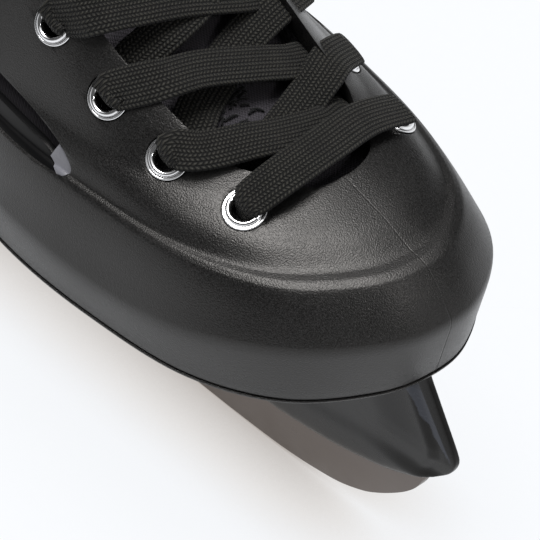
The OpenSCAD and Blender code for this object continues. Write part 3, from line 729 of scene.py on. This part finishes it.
def padding_knit():
    """Spacer knit of the lining: small round cells over soft foam."""
    s = Shader("padding_knit", Sheen_Weight=0.2, Sheen_Roughness=0.5, Specular_IOR_Level=0.3)
    place = s.place()
    cell = s.cells(place, 1.7)
    fuzz = s.noise(place, 0.3, detail=3)
    soft = s.noise(place, 14, detail=2)
    tone = s.plus(s.times(s.ramp(cell, 0.0, 0.55, 0.0, 1.0), 0.6), s.times(fuzz, 0.4))
    relief = s.bump(s.ramp(cell, 0.05, 0.5, 0.0, 1.0), 0.35, 0.7, under=s.bump(soft, 1.2, 0.5))
    return s.set(Base_Color=s.colours(tone, (0.15, (0.0035, 0.0035, 0.004)), (0.9, (0.021, 0.0205, 0.022))),
                 Roughness=s.ramp(fuzz, 0, 1, 0.98, 0.78), Normal=relief)


def felt():
    """Pressed fibre of the footbed, lightly pilled."""
    s = Shader("footbed_felt", Sheen_Weight=0.3, Sheen_Roughness=0.6)
    place = s.place()
    fibre = s.noise(s.stretched(place, (1, 0.35, 1)), 0.5, detail=5, roughness=0.7)
    pill = s.noise(place, 6, detail=3)
    tone = s.plus(s.times(fibre, 0.7), s.times(pill, 0.3))
    return s.set(Base_Color=s.colours(tone, (0.25, (0.03, 0.03, 0.034)), (0.8, (0.12, 0.12, 0.13))),
                 Roughness=s.ramp(fibre, 0, 1, 1.0, 0.85), Normal=s.bump(fibre, 0.35, 0.6))


def floor_paper():
    """Paper that glows, with a warm shadow painted into its glow close to the skate, and the glow fading to
    grey far away.
    """
    s = Shader("floor_paper", Specular_IOR_Level=0.05, Emission_Strength=0.95)
    place = s.place()
    # Painted contact shadow: ambient occlusion darkens and warms the glow near the skate.
    near = s.node("AmbientOcclusion", samples=16)
    s.feed(near.inputs["Distance"], FLOOR_PAINTED_SHADOW_REACH * MM)
    glow_with_painted_shadow = s.colours(near.outputs["AO"], (0.3, (0.42, 0.38, 0.35)), (0.7, (0.82, 0.8, 0.785)),
                       (0.92, (0.955, 0.972, 0.998)))
    distance = s.node("VectorMath", operation="LENGTH")
    s.feed(distance.inputs[0], place)
    far = s.ramp(distance.outputs["Value"], *FLOOR_FADE, 0.0, 1.0)
    fibre = s.noise(place, 3, detail=4)
    return s.set(Emission_Color=s.mixed(far, glow_with_painted_shadow, FLOOR_FAR_COLOUR),
                 Base_Color=s.colours(fibre, (0.3, (0.038, 0.039, 0.04)), (0.7, (0.042, 0.043, 0.044))),
                 Roughness=s.ramp(fibre, 0, 1, 0.9, 0.8), Normal=s.bump(fibre, 0.05, 0.2))


SHELL_PLASTIC = grained_plastic("shell_plastic", (0.0075, 0.0074, 0.0074), 0.36, parting=True)
CUFF_PLASTIC = grained_plastic("cuff_plastic", (0.0105, 0.0105, 0.011), 0.44)
HOLDER_PLASTIC = satin_plastic("holder_plastic", (0.006, 0.006, 0.0062), 0.24, gloss=0.24, painted_nose_highlight=True)
# Light grey plastic for the slot's front facet: a painted highlight of the light that facet catches.
PAINTED_HIGHLIGHT_PLASTIC = satin_plastic("painted_highlight_grey_plastic", (0.17, 0.17, 0.19), 0.22)
STRIP_PLASTIC = satin_plastic("strip_plastic", (0.004, 0.004, 0.0044), 0.3, gloss=0.16)
LADDER_PLASTIC = satin_plastic("ladder_plastic", (0.01, 0.01, 0.0105), 0.33)
BUCKLE_PLASTIC = satin_plastic("buckle_plastic", (0.014, 0.014, 0.015), 0.3)
AGLET_FILM = satin_plastic("aglet_film", (0.01, 0.01, 0.01), 0.14, coat=0.5)
CHROME = metal("eyelet_chrome", (0.95, 0.95, 0.955), 0.11, mark=2.5, relief=0.003)
RUNNER_STEEL = metal("runner_steel", (0.17, 0.148, 0.136), 0.36, brushed=(0.04, 1, 1), mark=0.5)
PLATED_STEEL = metal("plated_steel", (0.6, 0.6, 0.62), 0.26, mark=0.8)
LACE = lace_braid()
TONGUE_CLOTH = woven("tongue_cloth", (0.034, 0.031, 0.036), 0.42)
SLOT_CLOTH = woven("slot_cloth", (0.007, 0.0058, 0.0076), 0.6, sheen=0.03)
LINING = padding_knit()
FELT = felt()
THREAD = woven("stitch_thread", (0.0035, 0.0035, 0.004), 0.3)

# ---- camera, light and floor

# Camera in millimetres and degrees; floor and lights in metres.
CAMERA_AT, CAMERA_TO = (840.8, -631.0, 964.9), (100.09, -20.48, 88.12)
CAMERA_ROLL, CAMERA_LENS, CAMERA_SENSOR = -1.706, 355.3, 36
FLOOR_HALF, FLOOR_Z = 9.0, -0.0006
LIGHT_TARGET = (0.05, 0, 0.1)
LIGHTS = [("overhead", (-0.3, -0.2, 5.2), 2.8, 270), ("window", (4.1, 0.5, 2.8), 0.8, 34)]
# Brightness of the sky from straight down (0) to straight up (1).
SKY = [(0.0, 0.8), (0.06, 0.75), (0.16, 0.1), (0.76, 0.1), (0.88, 0.85), (1.0, 1.4)]


def place_object(name, data, at, rotation):
    obj = bpy.data.objects.new(name, data)
    SCENE.collection.objects.link(obj)
    obj.location = at
    obj.rotation_mode = "QUATERNION"
    obj.rotation_quaternion = rotation
    return obj


def camera():
    data = bpy.data.cameras.new("camera")
    data.lens, data.sensor_width = CAMERA_LENS, CAMERA_SENSOR
    data.clip_start, data.clip_end = 0.05, 30
    way = Vector(CAMERA_TO) - Vector(CAMERA_AT)
    turn = way.to_track_quat("-Z", "Y") @ Quaternion((0, 0, 1), math.radians(CAMERA_ROLL))
    SCENE.camera = place_object("camera", data, Vector(CAMERA_AT) * MM, turn)


def soft_light(name, at, size, power):
    data = bpy.data.lights.new(name, "AREA")
    data.shape, data.size, data.energy = "DISK", size, power
    place_object(name, data, at, (Vector(LIGHT_TARGET) - Vector(at)).to_track_quat("-Z", "Y"))


def studio():
    """Pale floor, a wide soft light overhead, a small one ahead of the toe and a sky bright at the top."""
    half = FLOOR_HALF
    corners = [(-half, -half, 0), (half, -half, 0), (half, half, 0), (-half, half, 0)]
    floor = mesh_object("floor", corners, [(0, 1, 2, 3)], scale=1)
    floor.location.z = FLOOR_Z
    floor.data.materials.append(floor_paper())
    for light in LIGHTS:
        soft_light(*light)
    world = bpy.data.worlds.new("studio")
    SCENE.world = world
    world.use_nodes = True
    nodes, links = world.node_tree.nodes, world.node_tree.links
    way, axes, band = (nodes.new("ShaderNode" + kind) for kind in ("TexCoord", "SeparateXYZ", "ValToRGB"))
    stops = [(position, (value, value * 1.005, value * 1.015)) for position, value in SKY]
    fill_band(band.color_ramp.elements, stops)
    links.new(way.outputs["Generated"], axes.inputs[0])
    links.new(axes.outputs["Z"], band.inputs[0])
    links.new(band.outputs[0], nodes["Background"].inputs["Color"])
    SCENE.view_settings.view_transform = "Standard"


# ---- laces


def tongue_height(x):
    table = np.array([(s[0], s[1]) for s in TONGUE_LINE if s[1] < 170])[::-1]
    return np.interp(x, table[:, 0], table[:, 1])


def along_instep(x):
    """Direction that runs down the instep towards the toe at x."""
    slope = (tongue_height(x + 4) - tongue_height(x - 4)) / 8
    return unit(np.column_stack([np.ones(len(x)), np.zeros(len(x)), slope]))


def ribbon(path, downhill, around=20):
    """Points, faces and UVs of a flat lace along rows of x, y, z, width and thickness."""
    tangent = unit(np.gradient(path[:, :3], axis=0))
    side = unit(downhill - tangent * np.sum(downhill * tangent, axis=1, keepdims=True))
    up = np.cross(side, tangent)
    angle = np.arange(around) * 2 * math.pi / around
    over = np.sign(np.cos(angle)) * np.abs(np.cos(angle)) ** 0.75
    high = np.sign(np.sin(angle)) * np.abs(np.sin(angle)) ** 0.8
    rings, marks = [], []
    for (*point, width, thick), s, u, v in zip(path, side, up, travel(path)):
        rings.append(point + np.outer(over * width / 2, s) + np.outer(high * thick / 2, u))
        marks.append(np.column_stack([(over + 1) / 2 * LACE_WIDTH, np.full(around, v)]))
    return np.vstack(rings), tube_faces(len(rings), around), np.vstack(marks)


def lace_object(name, ribbons):
    """One mesh from several ribbons, with a UV map in millimetres across and along the braid."""
    obj = mesh_object(name, *joined(ribbons))
    marks = np.vstack([part[2] for part in ribbons])
    layer = obj.data.uv_layers.new(name="Braid")
    corner = np.empty(len(obj.data.loops), int)
    obj.data.loops.foreach_get("vertex_index", corner)
    layer.data.foreach_set("uv", marks[corner].ravel())
    outward(obj)
    obj.data.shade_smooth()
    return obj


def at_eye(eye, points):
    """Points turned and moved from an eyelet's own axes, with its hole along Z, to its place."""
    *place, roll, pitch = eye
    roll, pitch = math.radians(roll), math.radians(pitch)
    about_x = np.array([[1, 0, 0], [0, math.cos(roll), -math.sin(roll)],
                        [0, math.sin(roll), math.cos(roll)]])
    about_y = np.array([[math.cos(pitch), 0, math.sin(pitch)], [0, 1, 0],
                        [-math.sin(pitch), 0, math.cos(pitch)]])
    return points @ (about_x @ about_y).T + np.array(place)


def over_eye(eye, height, inwards):
    x, y, z = at_eye(eye, np.array([0, 0, height]))
    return x, y - math.copysign(inwards, eye[1]), z


def into_eye(eye):
    """The lace folds over the rim, narrows and goes down the hole; on the left it laps over the rim."""
    lap = 2.0 if eye[1] > 0 else 0.0
    shapes = [(4.3, 3.4 - lap, 10.6, 2.0), (3.3, 1.5 - lap, 9.2, 2.6), (0.9, 0.5 - lap / 2, 6.8, 3.6),
              (-4.0, 0, 5.6, 3.4), (-7.4, 0, 7, 2.6)]
    return [(*over_eye(eye, height, inwards), width, thick) for height, inwards, width, thick in shapes]


def half_lace(first, crossings):
    """Half of the lace: down through its first eyelet, then from side to side up to the knot."""
    eyes = {"right": EYES_RIGHT, "left": EYES_LEFT}
    path = into_eye(first)[2:]
    for side, number, points in crossings:
        path += [(*point, LACE_WIDTH, LACE_THICK) for point in points] + into_eye(eyes[side][number])
    drift = math.copysign(1, path[-1][1])
    path += [(13, drift * 20, 142.5, 9, LACE_THICK), (11.5, drift * 13, 149, LACE_WIDTH, LACE_THICK),
             (9.5, drift * 7 - 1.5, 156.5, LACE_WIDTH, LACE_THICK)]
    return path


def swept(path):
    rows, _ = resample(spline(path, 10), LACE_STEP)
    return ribbon(rows, along_instep(rows[:, 0]))


def toe_bar():
    right, left = into_eye(EYES_RIGHT[0]), into_eye(EYES_LEFT[0])
    middle = [(100.4, -15.5, 116.6), (99.6, -1.5, 117.2), (97.4, 12.5, 115.8)]
    return right[2::-1] + [(*p, LACE_WIDTH, LACE_THICK) for p in middle] + left[:3]


def laces():
    paths = [toe_bar(), half_lace(EYES_RIGHT[0], CROSS_RIGHT_START),
             half_lace(EYES_LEFT[0], CROSS_LEFT_START)]
    obj = lace_object("lace_threaded_braid", [swept(path) for path in paths])
    finish_piece(obj, LACE, "lace", "boot", "lace_threaded")


def knot():
    """Square knot: two wraps that cross, over a third that lies along the tongue."""
    centre = np.array(KNOT, float)
    turn = np.linspace(0, 2 * math.pi * 0.97, KNOT_STEPS)
    parts = []
    wraps = [(0.55, (0, 3.2, 0), 5.2), (-0.55, (0, -3.2, 0.4), 5.2), (0.0, (0, 0, 1.2), 6.3)]
    for lean, offset, radius in wraps:
        x, y = math.sin(lean), math.cos(lean)
        around = radius * np.column_stack([np.cos(turn), x * np.sin(turn), 0.72 * np.sin(turn)])
        size = np.tile([KNOT_WIDTH, LACE_THICK], (KNOT_STEPS, 1))
        path = np.column_stack([centre + offset + around, size])
        parts.append(ribbon(path, np.tile([x, y, 0.0], (KNOT_STEPS, 1))))
    return finish_piece(lace_object("lace_knot_braid", parts), LACE, "lace", "boot", "lace_knot")


def aglet(name, tip, node):
    """Shrunk film tube, crimped a little flat, over the lace's end."""
    profile = [(0.6, -14), (1.5, -13.9), (1.75, -13.4), (1.72, -8), (1.85, -2), (1.9, -0.3), (1.8, 0),
               (0.8, 0.1)]
    points, faces = lathe(profile, 24, closed=False)
    points = points * (1.0, 0.88, 1.0) + np.array(tip)
    obj = join_parts(name, [(points, faces)])
    return finish_piece(shade(obj), AGLET_FILM, "aglet", "boot", node)


def lace_end(side, route):
    rows, _ = resample(spline(route, 10), LACE_STEP)
    count = len(rows)
    from_tip = np.linspace(1, 0, count) * (count - 1) * LACE_STEP
    spread = smooth(0, TIP_TAPER, from_tip)
    width = TIP_WIDTH + (LACE_END_WIDTH - TIP_WIDTH) * spread
    thick = TIP_THICK - (TIP_THICK - LACE_THICK) * spread
    parts = [ribbon(np.column_stack([rows, width, thick]), np.tile([1.0, 0, 0], (count, 1)))]
    obj = lace_object(f"lace_end_{side}_braid", parts)
    finish_piece(obj, LACE, "lace", "boot", f"lace_end_{side}")
    tip = aglet(f"aglet_{side}_film", route[-1], f"aglet_{side}")


# ---- boot


def at_eyes(name, eyes, points, faces):
    """One copy of the points and faces at each eyelet."""
    return join_parts(name, [(at_eye(eye, points), faces) for eye in eyes])


def eye_cylinders(name, radius, low, high):
    return at_eyes(name, EYES_RIGHT + EYES_LEFT, *lathe([(radius, low), (radius, high)], 48, closed=False))


def shell_rings(base, profile):
    """Rings of the shell, from pairs of height above base and distance outwards."""
    return [ring(level_at(SHELL_LEVELS, base + up), off, True) for up, off in profile]


def shell():
    """Boot shell: one skin outside and inside, cut by the throat, slots, eyelet holes and ankle bores."""
    rows = rounded_levels(SHELL_LEVELS)
    outer = shell_rings(SOLE_Z, [(1.5, -0.5), (1.7, -0.1), (2.2, 0)])
    outer += [ring(row, 0, True) for row in rows if SOLE_Z + 3 < row[0] < SHELL_TOP - 1.6]
    outer += shell_rings(SHELL_TOP, [(-1.4, 0), (-0.4, -0.35), (0, -1.1), (0, -2.4), (-0.4, -3.15),
                                     (-1.4, -SHELL_WALL)])
    inner = shell_rings(SOLE_Z, [(5, -SHELL_WALL - 0.6)])
    inner += [ring(row, -SHELL_WALL, True) for row in rows if SOLE_Z + 6 < row[0] < SHELL_TOP - 2]
    obj = ring_solid("boot_shell", outer + inner[::-1])
    throat = prism("throat_cut", spline(THROAT, 6), 96, 240, "z")
    slot = across("slot_cut", spline(SLOT, 5, closed=True), SHELL_REACH)
    bores = across("bore_cut", circle(PIVOT_R + 0.05) + PIVOT, SHELL_REACH)
    holes = eye_cylinders("eye_cut", EYE_HOLE_R, -8, 8)
    seats = eye_cylinders("eye_seat", EYE_SEAT_R, -0.1, 9)
    combine(obj, throat, slot, bores, holes, seats)
    round_edges(obj, 0.45, 2, 38)
    finish_piece(shade(obj, 40), SHELL_PLASTIC, "shell", "boot", "shell")


def sole_lip():
    """Thin lip that closes the shell's bottom edge, with a fine gap above it."""
    profile = [(0, -0.6), (0.1, -0.1), (0.45, 0.25), (0.9, 0.25), (1.15, -0.1), (1.2, -0.9)]
    obj = ring_solid("boot_sole_lip", shell_rings(SOLE_Z, profile))
    finish_piece(shade(obj, 50), SHELL_PLASTIC, "shell", "boot")


def eyelets(side, eyes):
    """Rolled eyelets: a broad bright roll, a groove and a thin outer rim round each hole."""
    face = spline([(3.1, -0.4), (3.12, 0.7), (3.4, 1.45), (4.0, 1.85), (4.6, 1.6), (4.92, 0.95)], 5)
    rim = spline([(5.0, 0.78), (5.16, 1.0), (5.42, 1.02), (5.64, 0.75), (5.68, 0.25)], 4)
    profile = [(3.1, -5.6), *map(tuple, face), *map(tuple, rim), (5.6, -0.1), (3.8, -0.1), (3.8, -5.6)]
    obj = at_eyes(f"eyelet_rolls_{side}", eyes, *lathe(profile, 72))
    finish_piece(shade(obj, 50), CHROME, "eyelet", "boot", f"eyelets_{side}")


def boot_wall(name, rows, off_out, off_in, lidded=False):
    """Wall that follows the boot between two depths."""
    outer, inner = ([ring(row, off, lidded) for row in rows] for off in (off_out, off_in))
    return wall_solid(name, outer + inner[::-1])


def slot_layer(name, off_out, off_in, outline, side):
    """Part of the boot's wall between two depths, inside an outline seen from the side."""
    rows = [row for row in rounded_levels(SHELL_LEVELS) if 94 < row[0] < 125]
    obj = boot_wall(name, rows, off_out, off_in, True)
    low, high = (-SHELL_REACH, -5) if side == "right" else (5, SHELL_REACH)
    return combine(obj, prism(name + "_keep", outline, low, high, "y"), operation="INTERSECT")


def slot_insert(side):
    """Side slot: a textile strip above, a smooth strip below and, at the front end, a facet coloured light
    grey as a painted highlight.
    """
    middle = spline(SLOT_MIDDLE, 5)
    above = np.vstack([middle, [(50, 106), (50, 118), (-42, 120)]])
    below = np.vstack([middle - (0, 0.15), [(52, 101.5), (50, 99), (-42, 99)]])
    # The front facet's light grey colour is a painted highlight of the light it catches.
    front = [(45.4, 103.6), (48, 109.5), (54, 104), (53, 101)]
    layers = [("cloth", -1.9, -2.9, above, SLOT_CLOTH, [f"slot_insert_{side}"]),
              ("plate", -0.7, -2.9, below, STRIP_PLASTIC, []), ("tip", -0.35, -2.2, front, PAINTED_HIGHLIGHT_PLASTIC, [])]
    for part, off_out, off_in, outline, material, nodes in layers:
        obj = slot_layer(f"slot_{part}_{side}", off_out, off_in, outline, side)
        round_edges(obj, 0.25, 2)
        finish_piece(shade(obj, 40), material, "slot_insert", "boot", *nodes)


def tongue():
    """Padded tongue from inside the toe up to the collar, with bound edges."""
    stations = spline(TONGUE_LINE, 9)
    share = np.linspace(-1, 1, 28)
    rings = []
    way = unit(np.gradient(stations[:, :2], axis=0))
    for (x, z, y, half, droop), t in zip(stations, way):
        normal = np.array([t[1], -t[0]])
        binding = 0.45 * np.exp(-((np.abs(share) - 0.93) / 0.05) ** 2)
        top = -droop * share ** 2 + 0.5 * np.cos(share * math.pi / 2) + binding
        low = -droop * share ** 2 - TONGUE_THICK * (1 - 0.55 * share ** 2)
        turn, height = np.append(share, share[::-1]), np.append(top, low[::-1])
        rings.append(np.column_stack([x + normal[0] * height, y + half * turn, z + normal[1] * height]))
    obj = tube_solid("tongue_pad", rings)
    round_edges(obj, 0.9, 3, 50)
    shade(obj, 60)
    finish_piece(obj, TONGUE_CLOTH, "tongue", None, "tongue_lower", "tongue_upper")
    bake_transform(obj)


def stitches():
    """Thick, uneven stitching on the tongue, between the second and third crossing of the lace."""
    chance = np.random.RandomState(4)
    middle, spread = np.array(STITCH_AT), np.array(STITCH_SPREAD)
    parts = []
    for _ in range(STITCH_COUNT):
        x, y = middle + (chance.rand(2) - 0.5) * spread
        turn = math.radians(chance.uniform(35, 125))
        reach = chance.uniform(1.1, 2.0)
        share = np.linspace(-1, 1, 9)
        along = np.column_stack([x + share * reach * math.cos(turn), y + share * reach * math.sin(turn)])
        over = 0.75 + 0.5 * np.cos(share * math.pi / 2) - 4 * ((along[:, 1] + 3) / 22) ** 2
        up = tongue_height(along[:, 0]) + over
        path = np.column_stack([along, up, np.full(9, 0.62), np.full(9, 0.5)])
        parts.append(ribbon(path, np.tile([-math.sin(turn), math.cos(turn), 0.0], (9, 1)), 8))
    finish_piece(lace_object("tongue_stitching", parts), THREAD, "tongue", "boot")


def collar_top(x):
    return 276 - 10 * smooth(-112, -58, x)


def lining():
    """Padded lining: one pad from the footbed to a rolled collar, open over the tongue."""
    low = [row for row in rounded_levels(SHELL_LEVELS, 4) if 76 < row[0] < 128]
    high = [row for row in rounded_levels(ANKLE_LEVELS, 4) if 128 <= row[0] < 262]

    def outside(z):
        return -SHELL_WALL - 0.5 + 6.2 * smooth(194, 216, z)

    def inside(z):
        return outside(z) - 5 - 3.2 * smooth(190, 240, z)

    outer = [ring(row, outside(row[0])) for row in low]
    inner = [ring(row, inside(row[0])) for row in low]
    for row in high:
        puff = 0.9 * abs(math.sin((row[0] - 196) / 22 * math.pi)) * smooth(196, 206, row[0])
        outer.append(ring(row, outside(row[0])))
        inner.append(ring(row, inside(row[0]) - puff))
    roll = []
    top_level = level_at(ANKLE_LEVELS, ROLL_Z)
    thick = outside(ROLL_Z) - inside(ROLL_Z)
    for angle in np.linspace(0, math.pi, 9):
        row = ring(top_level, outside(ROLL_Z) - thick * (1 - math.cos(angle)) / 2)
        row[:, 2] = collar_top(row[:, 0]) - thick / 2 + math.sin(angle) * thick / 2
        roll.append(row)
    obj = wall_solid("boot_lining", outer + roll + inner[::-1])
    combine(obj, prism("tongue_gap", spline(TONGUE_GAP, 4), 92, 320, "z"))
    round_edges(obj, 1.6, 3, 45)
    shade(obj, 50)
    finish_piece(obj, LINING, "liner", None, "liner_lower", "liner_upper")
    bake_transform(obj)


def footbed():
    """Insole with a rounded edge and a raised heel cup."""
    z = SOLE_Z + 9.8
    base = level_at(SHELL_LEVELS, z)
    rows = [(0, -10.4), (0, -9.9), (1.2, -9.6), (2.4, -9.8), (3.0, -10.6)]
    rings = [ring([z] + base[1:], off) + (0, 0, up) for up, off in rows]
    obj = ring_solid("footbed_felt", rings)
    finish_piece(shade(obj), FELT, "footbed", "boot", "footbed")


# ---- holder and runner


def pad_flare(name, pad, top, root, low):
    """Flange under the sole that runs down into the web in a hollow curve."""
    outline = spline(pad, 6, closed=True)
    middle = (root[0] + root[1]) / 2
    reach = np.abs(outline[:, 0] - middle).max()
    narrow = np.column_stack([
        middle + (outline[:, 0] - middle) * (root[1] - root[0]) / 2 / reach,
        outline[:, 1] * (RAIL_THICK / 2 - 0.2) / np.abs(outline[:, 1]).max(),
    ])
    rings = [np.column_stack([outline, np.full(len(outline), top)])]
    for t in np.linspace(0, 1, 14):
        share = 1 - (1 - t) ** 3.2
        flat = outline * (1 - share) + narrow * share
        rings.append(np.column_stack([flat, np.full(len(flat), top - 5.0 - t * (top - 5.0 - low))]))
    return tube_solid(name, rings)


def thin_nose(obj):
    """The web thins towards its front edge, with a narrow steeper facet a few millimetres behind it."""
    points = np.empty(len(obj.data.vertices) * 3)
    obj.data.vertices.foreach_get("co", points)
    points = points.reshape(-1, 3)
    x, z = points[:, 0] / MM, points[:, 2] / MM
    behind = np.interp(z, *zip(*NOSE_EDGE)) - x
    facet = 0.34 * (1 - smooth(4.2, 7.6, behind))
    taper = 0.26 * (1 - smooth(7.6, 26, behind)) + 0.14 * (1 - smooth(0, 4.2, behind))
    points[:, 1] *= 1 - (facet + taper) * smooth(31, 36, z)
    obj.data.vertices.foreach_set("co", points.ravel())
    obj.data.update()


def holder():
    """Moulded blade holder: web, two flared flanges and the rail round the runner, grown together."""
    side = spline(HOLDER_SIDE, 5, closed=True)
    obj = across("blade_holder_moulding", side, RAIL_THICK / 2 - 0.4)
    rail = across("rail", RAIL_SIDE, RAIL_THICK / 2)
    front = pad_flare("front_flare", FRONT_PAD, SOLE_Z - 0.2, (50, 137), 42)
    rear = pad_flare("rear_flare", REAR_PAD, SOLE_Z + HEEL_RISE - 0.4, (-138, -56), 46)
    combine(obj, rail, front, rear, operation="UNION")
    grow = obj.modifiers.new("Grow", "REMESH")
    grow.mode, grow.voxel_size, grow.use_smooth_shade = "VOXEL", 0.8 * MM, True
    soften = obj.modifiers.new("Soften", "CORRECTIVE_SMOOTH")
    soften.use_only_smooth, soften.iterations, soften.factor = True, 10, 0.5
    bake(obj)
    thin_nose(obj)
    obj.data.shade_smooth()
    finish_piece(obj, HOLDER_PLASTIC, "holder", "boot", "blade_holder")


def runner():
    """Steel runner with a ground bottom edge and slightly rounded edges."""
    outline = spline(RUNNER_SIDE, 6, closed=True)
    obj = across("runner_steel", outline, RUNNER_THICK / 2)
    round_edges(obj, 0.18, 2, 40)
    finish_piece(shade(obj, 30), RUNNER_STEEL, "runner", "boot", "runner")


# ---- cuff and buckle


def cuff():
    """Hinged cuff: a curved wall cut to its side outline, with a bore at each ankle bolt."""
    rows = [row for row in rounded_levels(ANKLE_LEVELS, 3) if row[0] > 126]
    obj = boot_wall("cuff_wall", rows, CUFF_OUTSIDE, CUFF_INSIDE)
    combine(obj, across("cuff_keep", spline(CUFF_SIDE, 5, closed=True), CUFF_REACH), operation="INTERSECT")
    combine(obj, across("cuff_bore", circle(PIVOT_R + 0.05) + PIVOT, CUFF_REACH))
    round_edges(obj, 0.8, 3, 40)
    finish_piece(shade(obj, 42), CUFF_PLASTIC, "cuff", "cuff", "cuff")


def ladder_strap():
    """Ratchet strap: a band round the front of the cuff with raised edges and teeth towards the buckle."""
    path = ring(level_at(ANKLE_LEVELS, STRAP_Z), STRAP_OFFSET)
    path = path[path[:, 0] > STRAP_BACK]
    normal = unit(np.gradient(path[:, :2], axis=0))[:, ::-1] * (1, -1)
    rows, marks = resample(np.column_stack([path, normal]), 0.9)
    section = [(0, -9), (1.6, -9), (2.0, -8.6), (2.0, -7.4), (1.2, -6.8), (1.2, 6.8), (2.0, 7.4), (2.0, 8.6),
               (1.6, 9), (0, 9)]
    rings = []
    for row, mark in zip(rows, marks):
        toothed = smooth(marks[-1] - 62, marks[-1] - 55, mark)
        tooth = 0.8 * ((mark / TOOTH_PITCH) % 1) * toothed
        lifts = [out + (tooth if abs(up) < 7 and out > 1 else 0) for out, up in section]
        rings.append(np.array([(row[0] + row[3] * lift, row[1] + row[4] * lift, STRAP_Z + up)
                               for lift, (_, up) in zip(lifts, section)]))
    obj = tube_solid("ladder_strap_band", rings)
    finish_piece(shade(obj, 30), LADDER_PLASTIC, "ladder", "cuff", "ladder_strap")


def carried_nodes():
    """CAD nodes whose shape is right: a rounded edge and their own material."""
    looks = {
        PLATED_STEEL: ["runner_bolts", "runner_nuts", "holder_screws", "sole_nuts", "pivot_bolt_right",
                       "pivot_bolt_left", "pivot_nut_right", "pivot_nut_left", "strap_screws",
                       "buckle_rivets", "lever_pin", "pawl_pin", "buckle_pawl"],
        BUCKLE_PLASTIC: ["buckle_base", "buckle_lever"],
    }
    for material, names in looks.items():
        for name in names:
            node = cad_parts[name]
            node.data.materials.clear()
            node.data.materials.append(material)
            bevel(node, 0.35, 2, 40)


# ---- the whole skate

camera()
lace_end("right", END_ROUTE_RIGHT)
lace_end("left", END_ROUTE_LEFT)
studio()
laces()
knot()
shell()
sole_lip()
eyelets("right", EYES_RIGHT)
eyelets("left", EYES_LEFT)
slot_insert("right")
slot_insert("left")
tongue()
stitches()
lining()
footbed()
holder()
runner()
cuff()
ladder_strap()
carried_nodes()
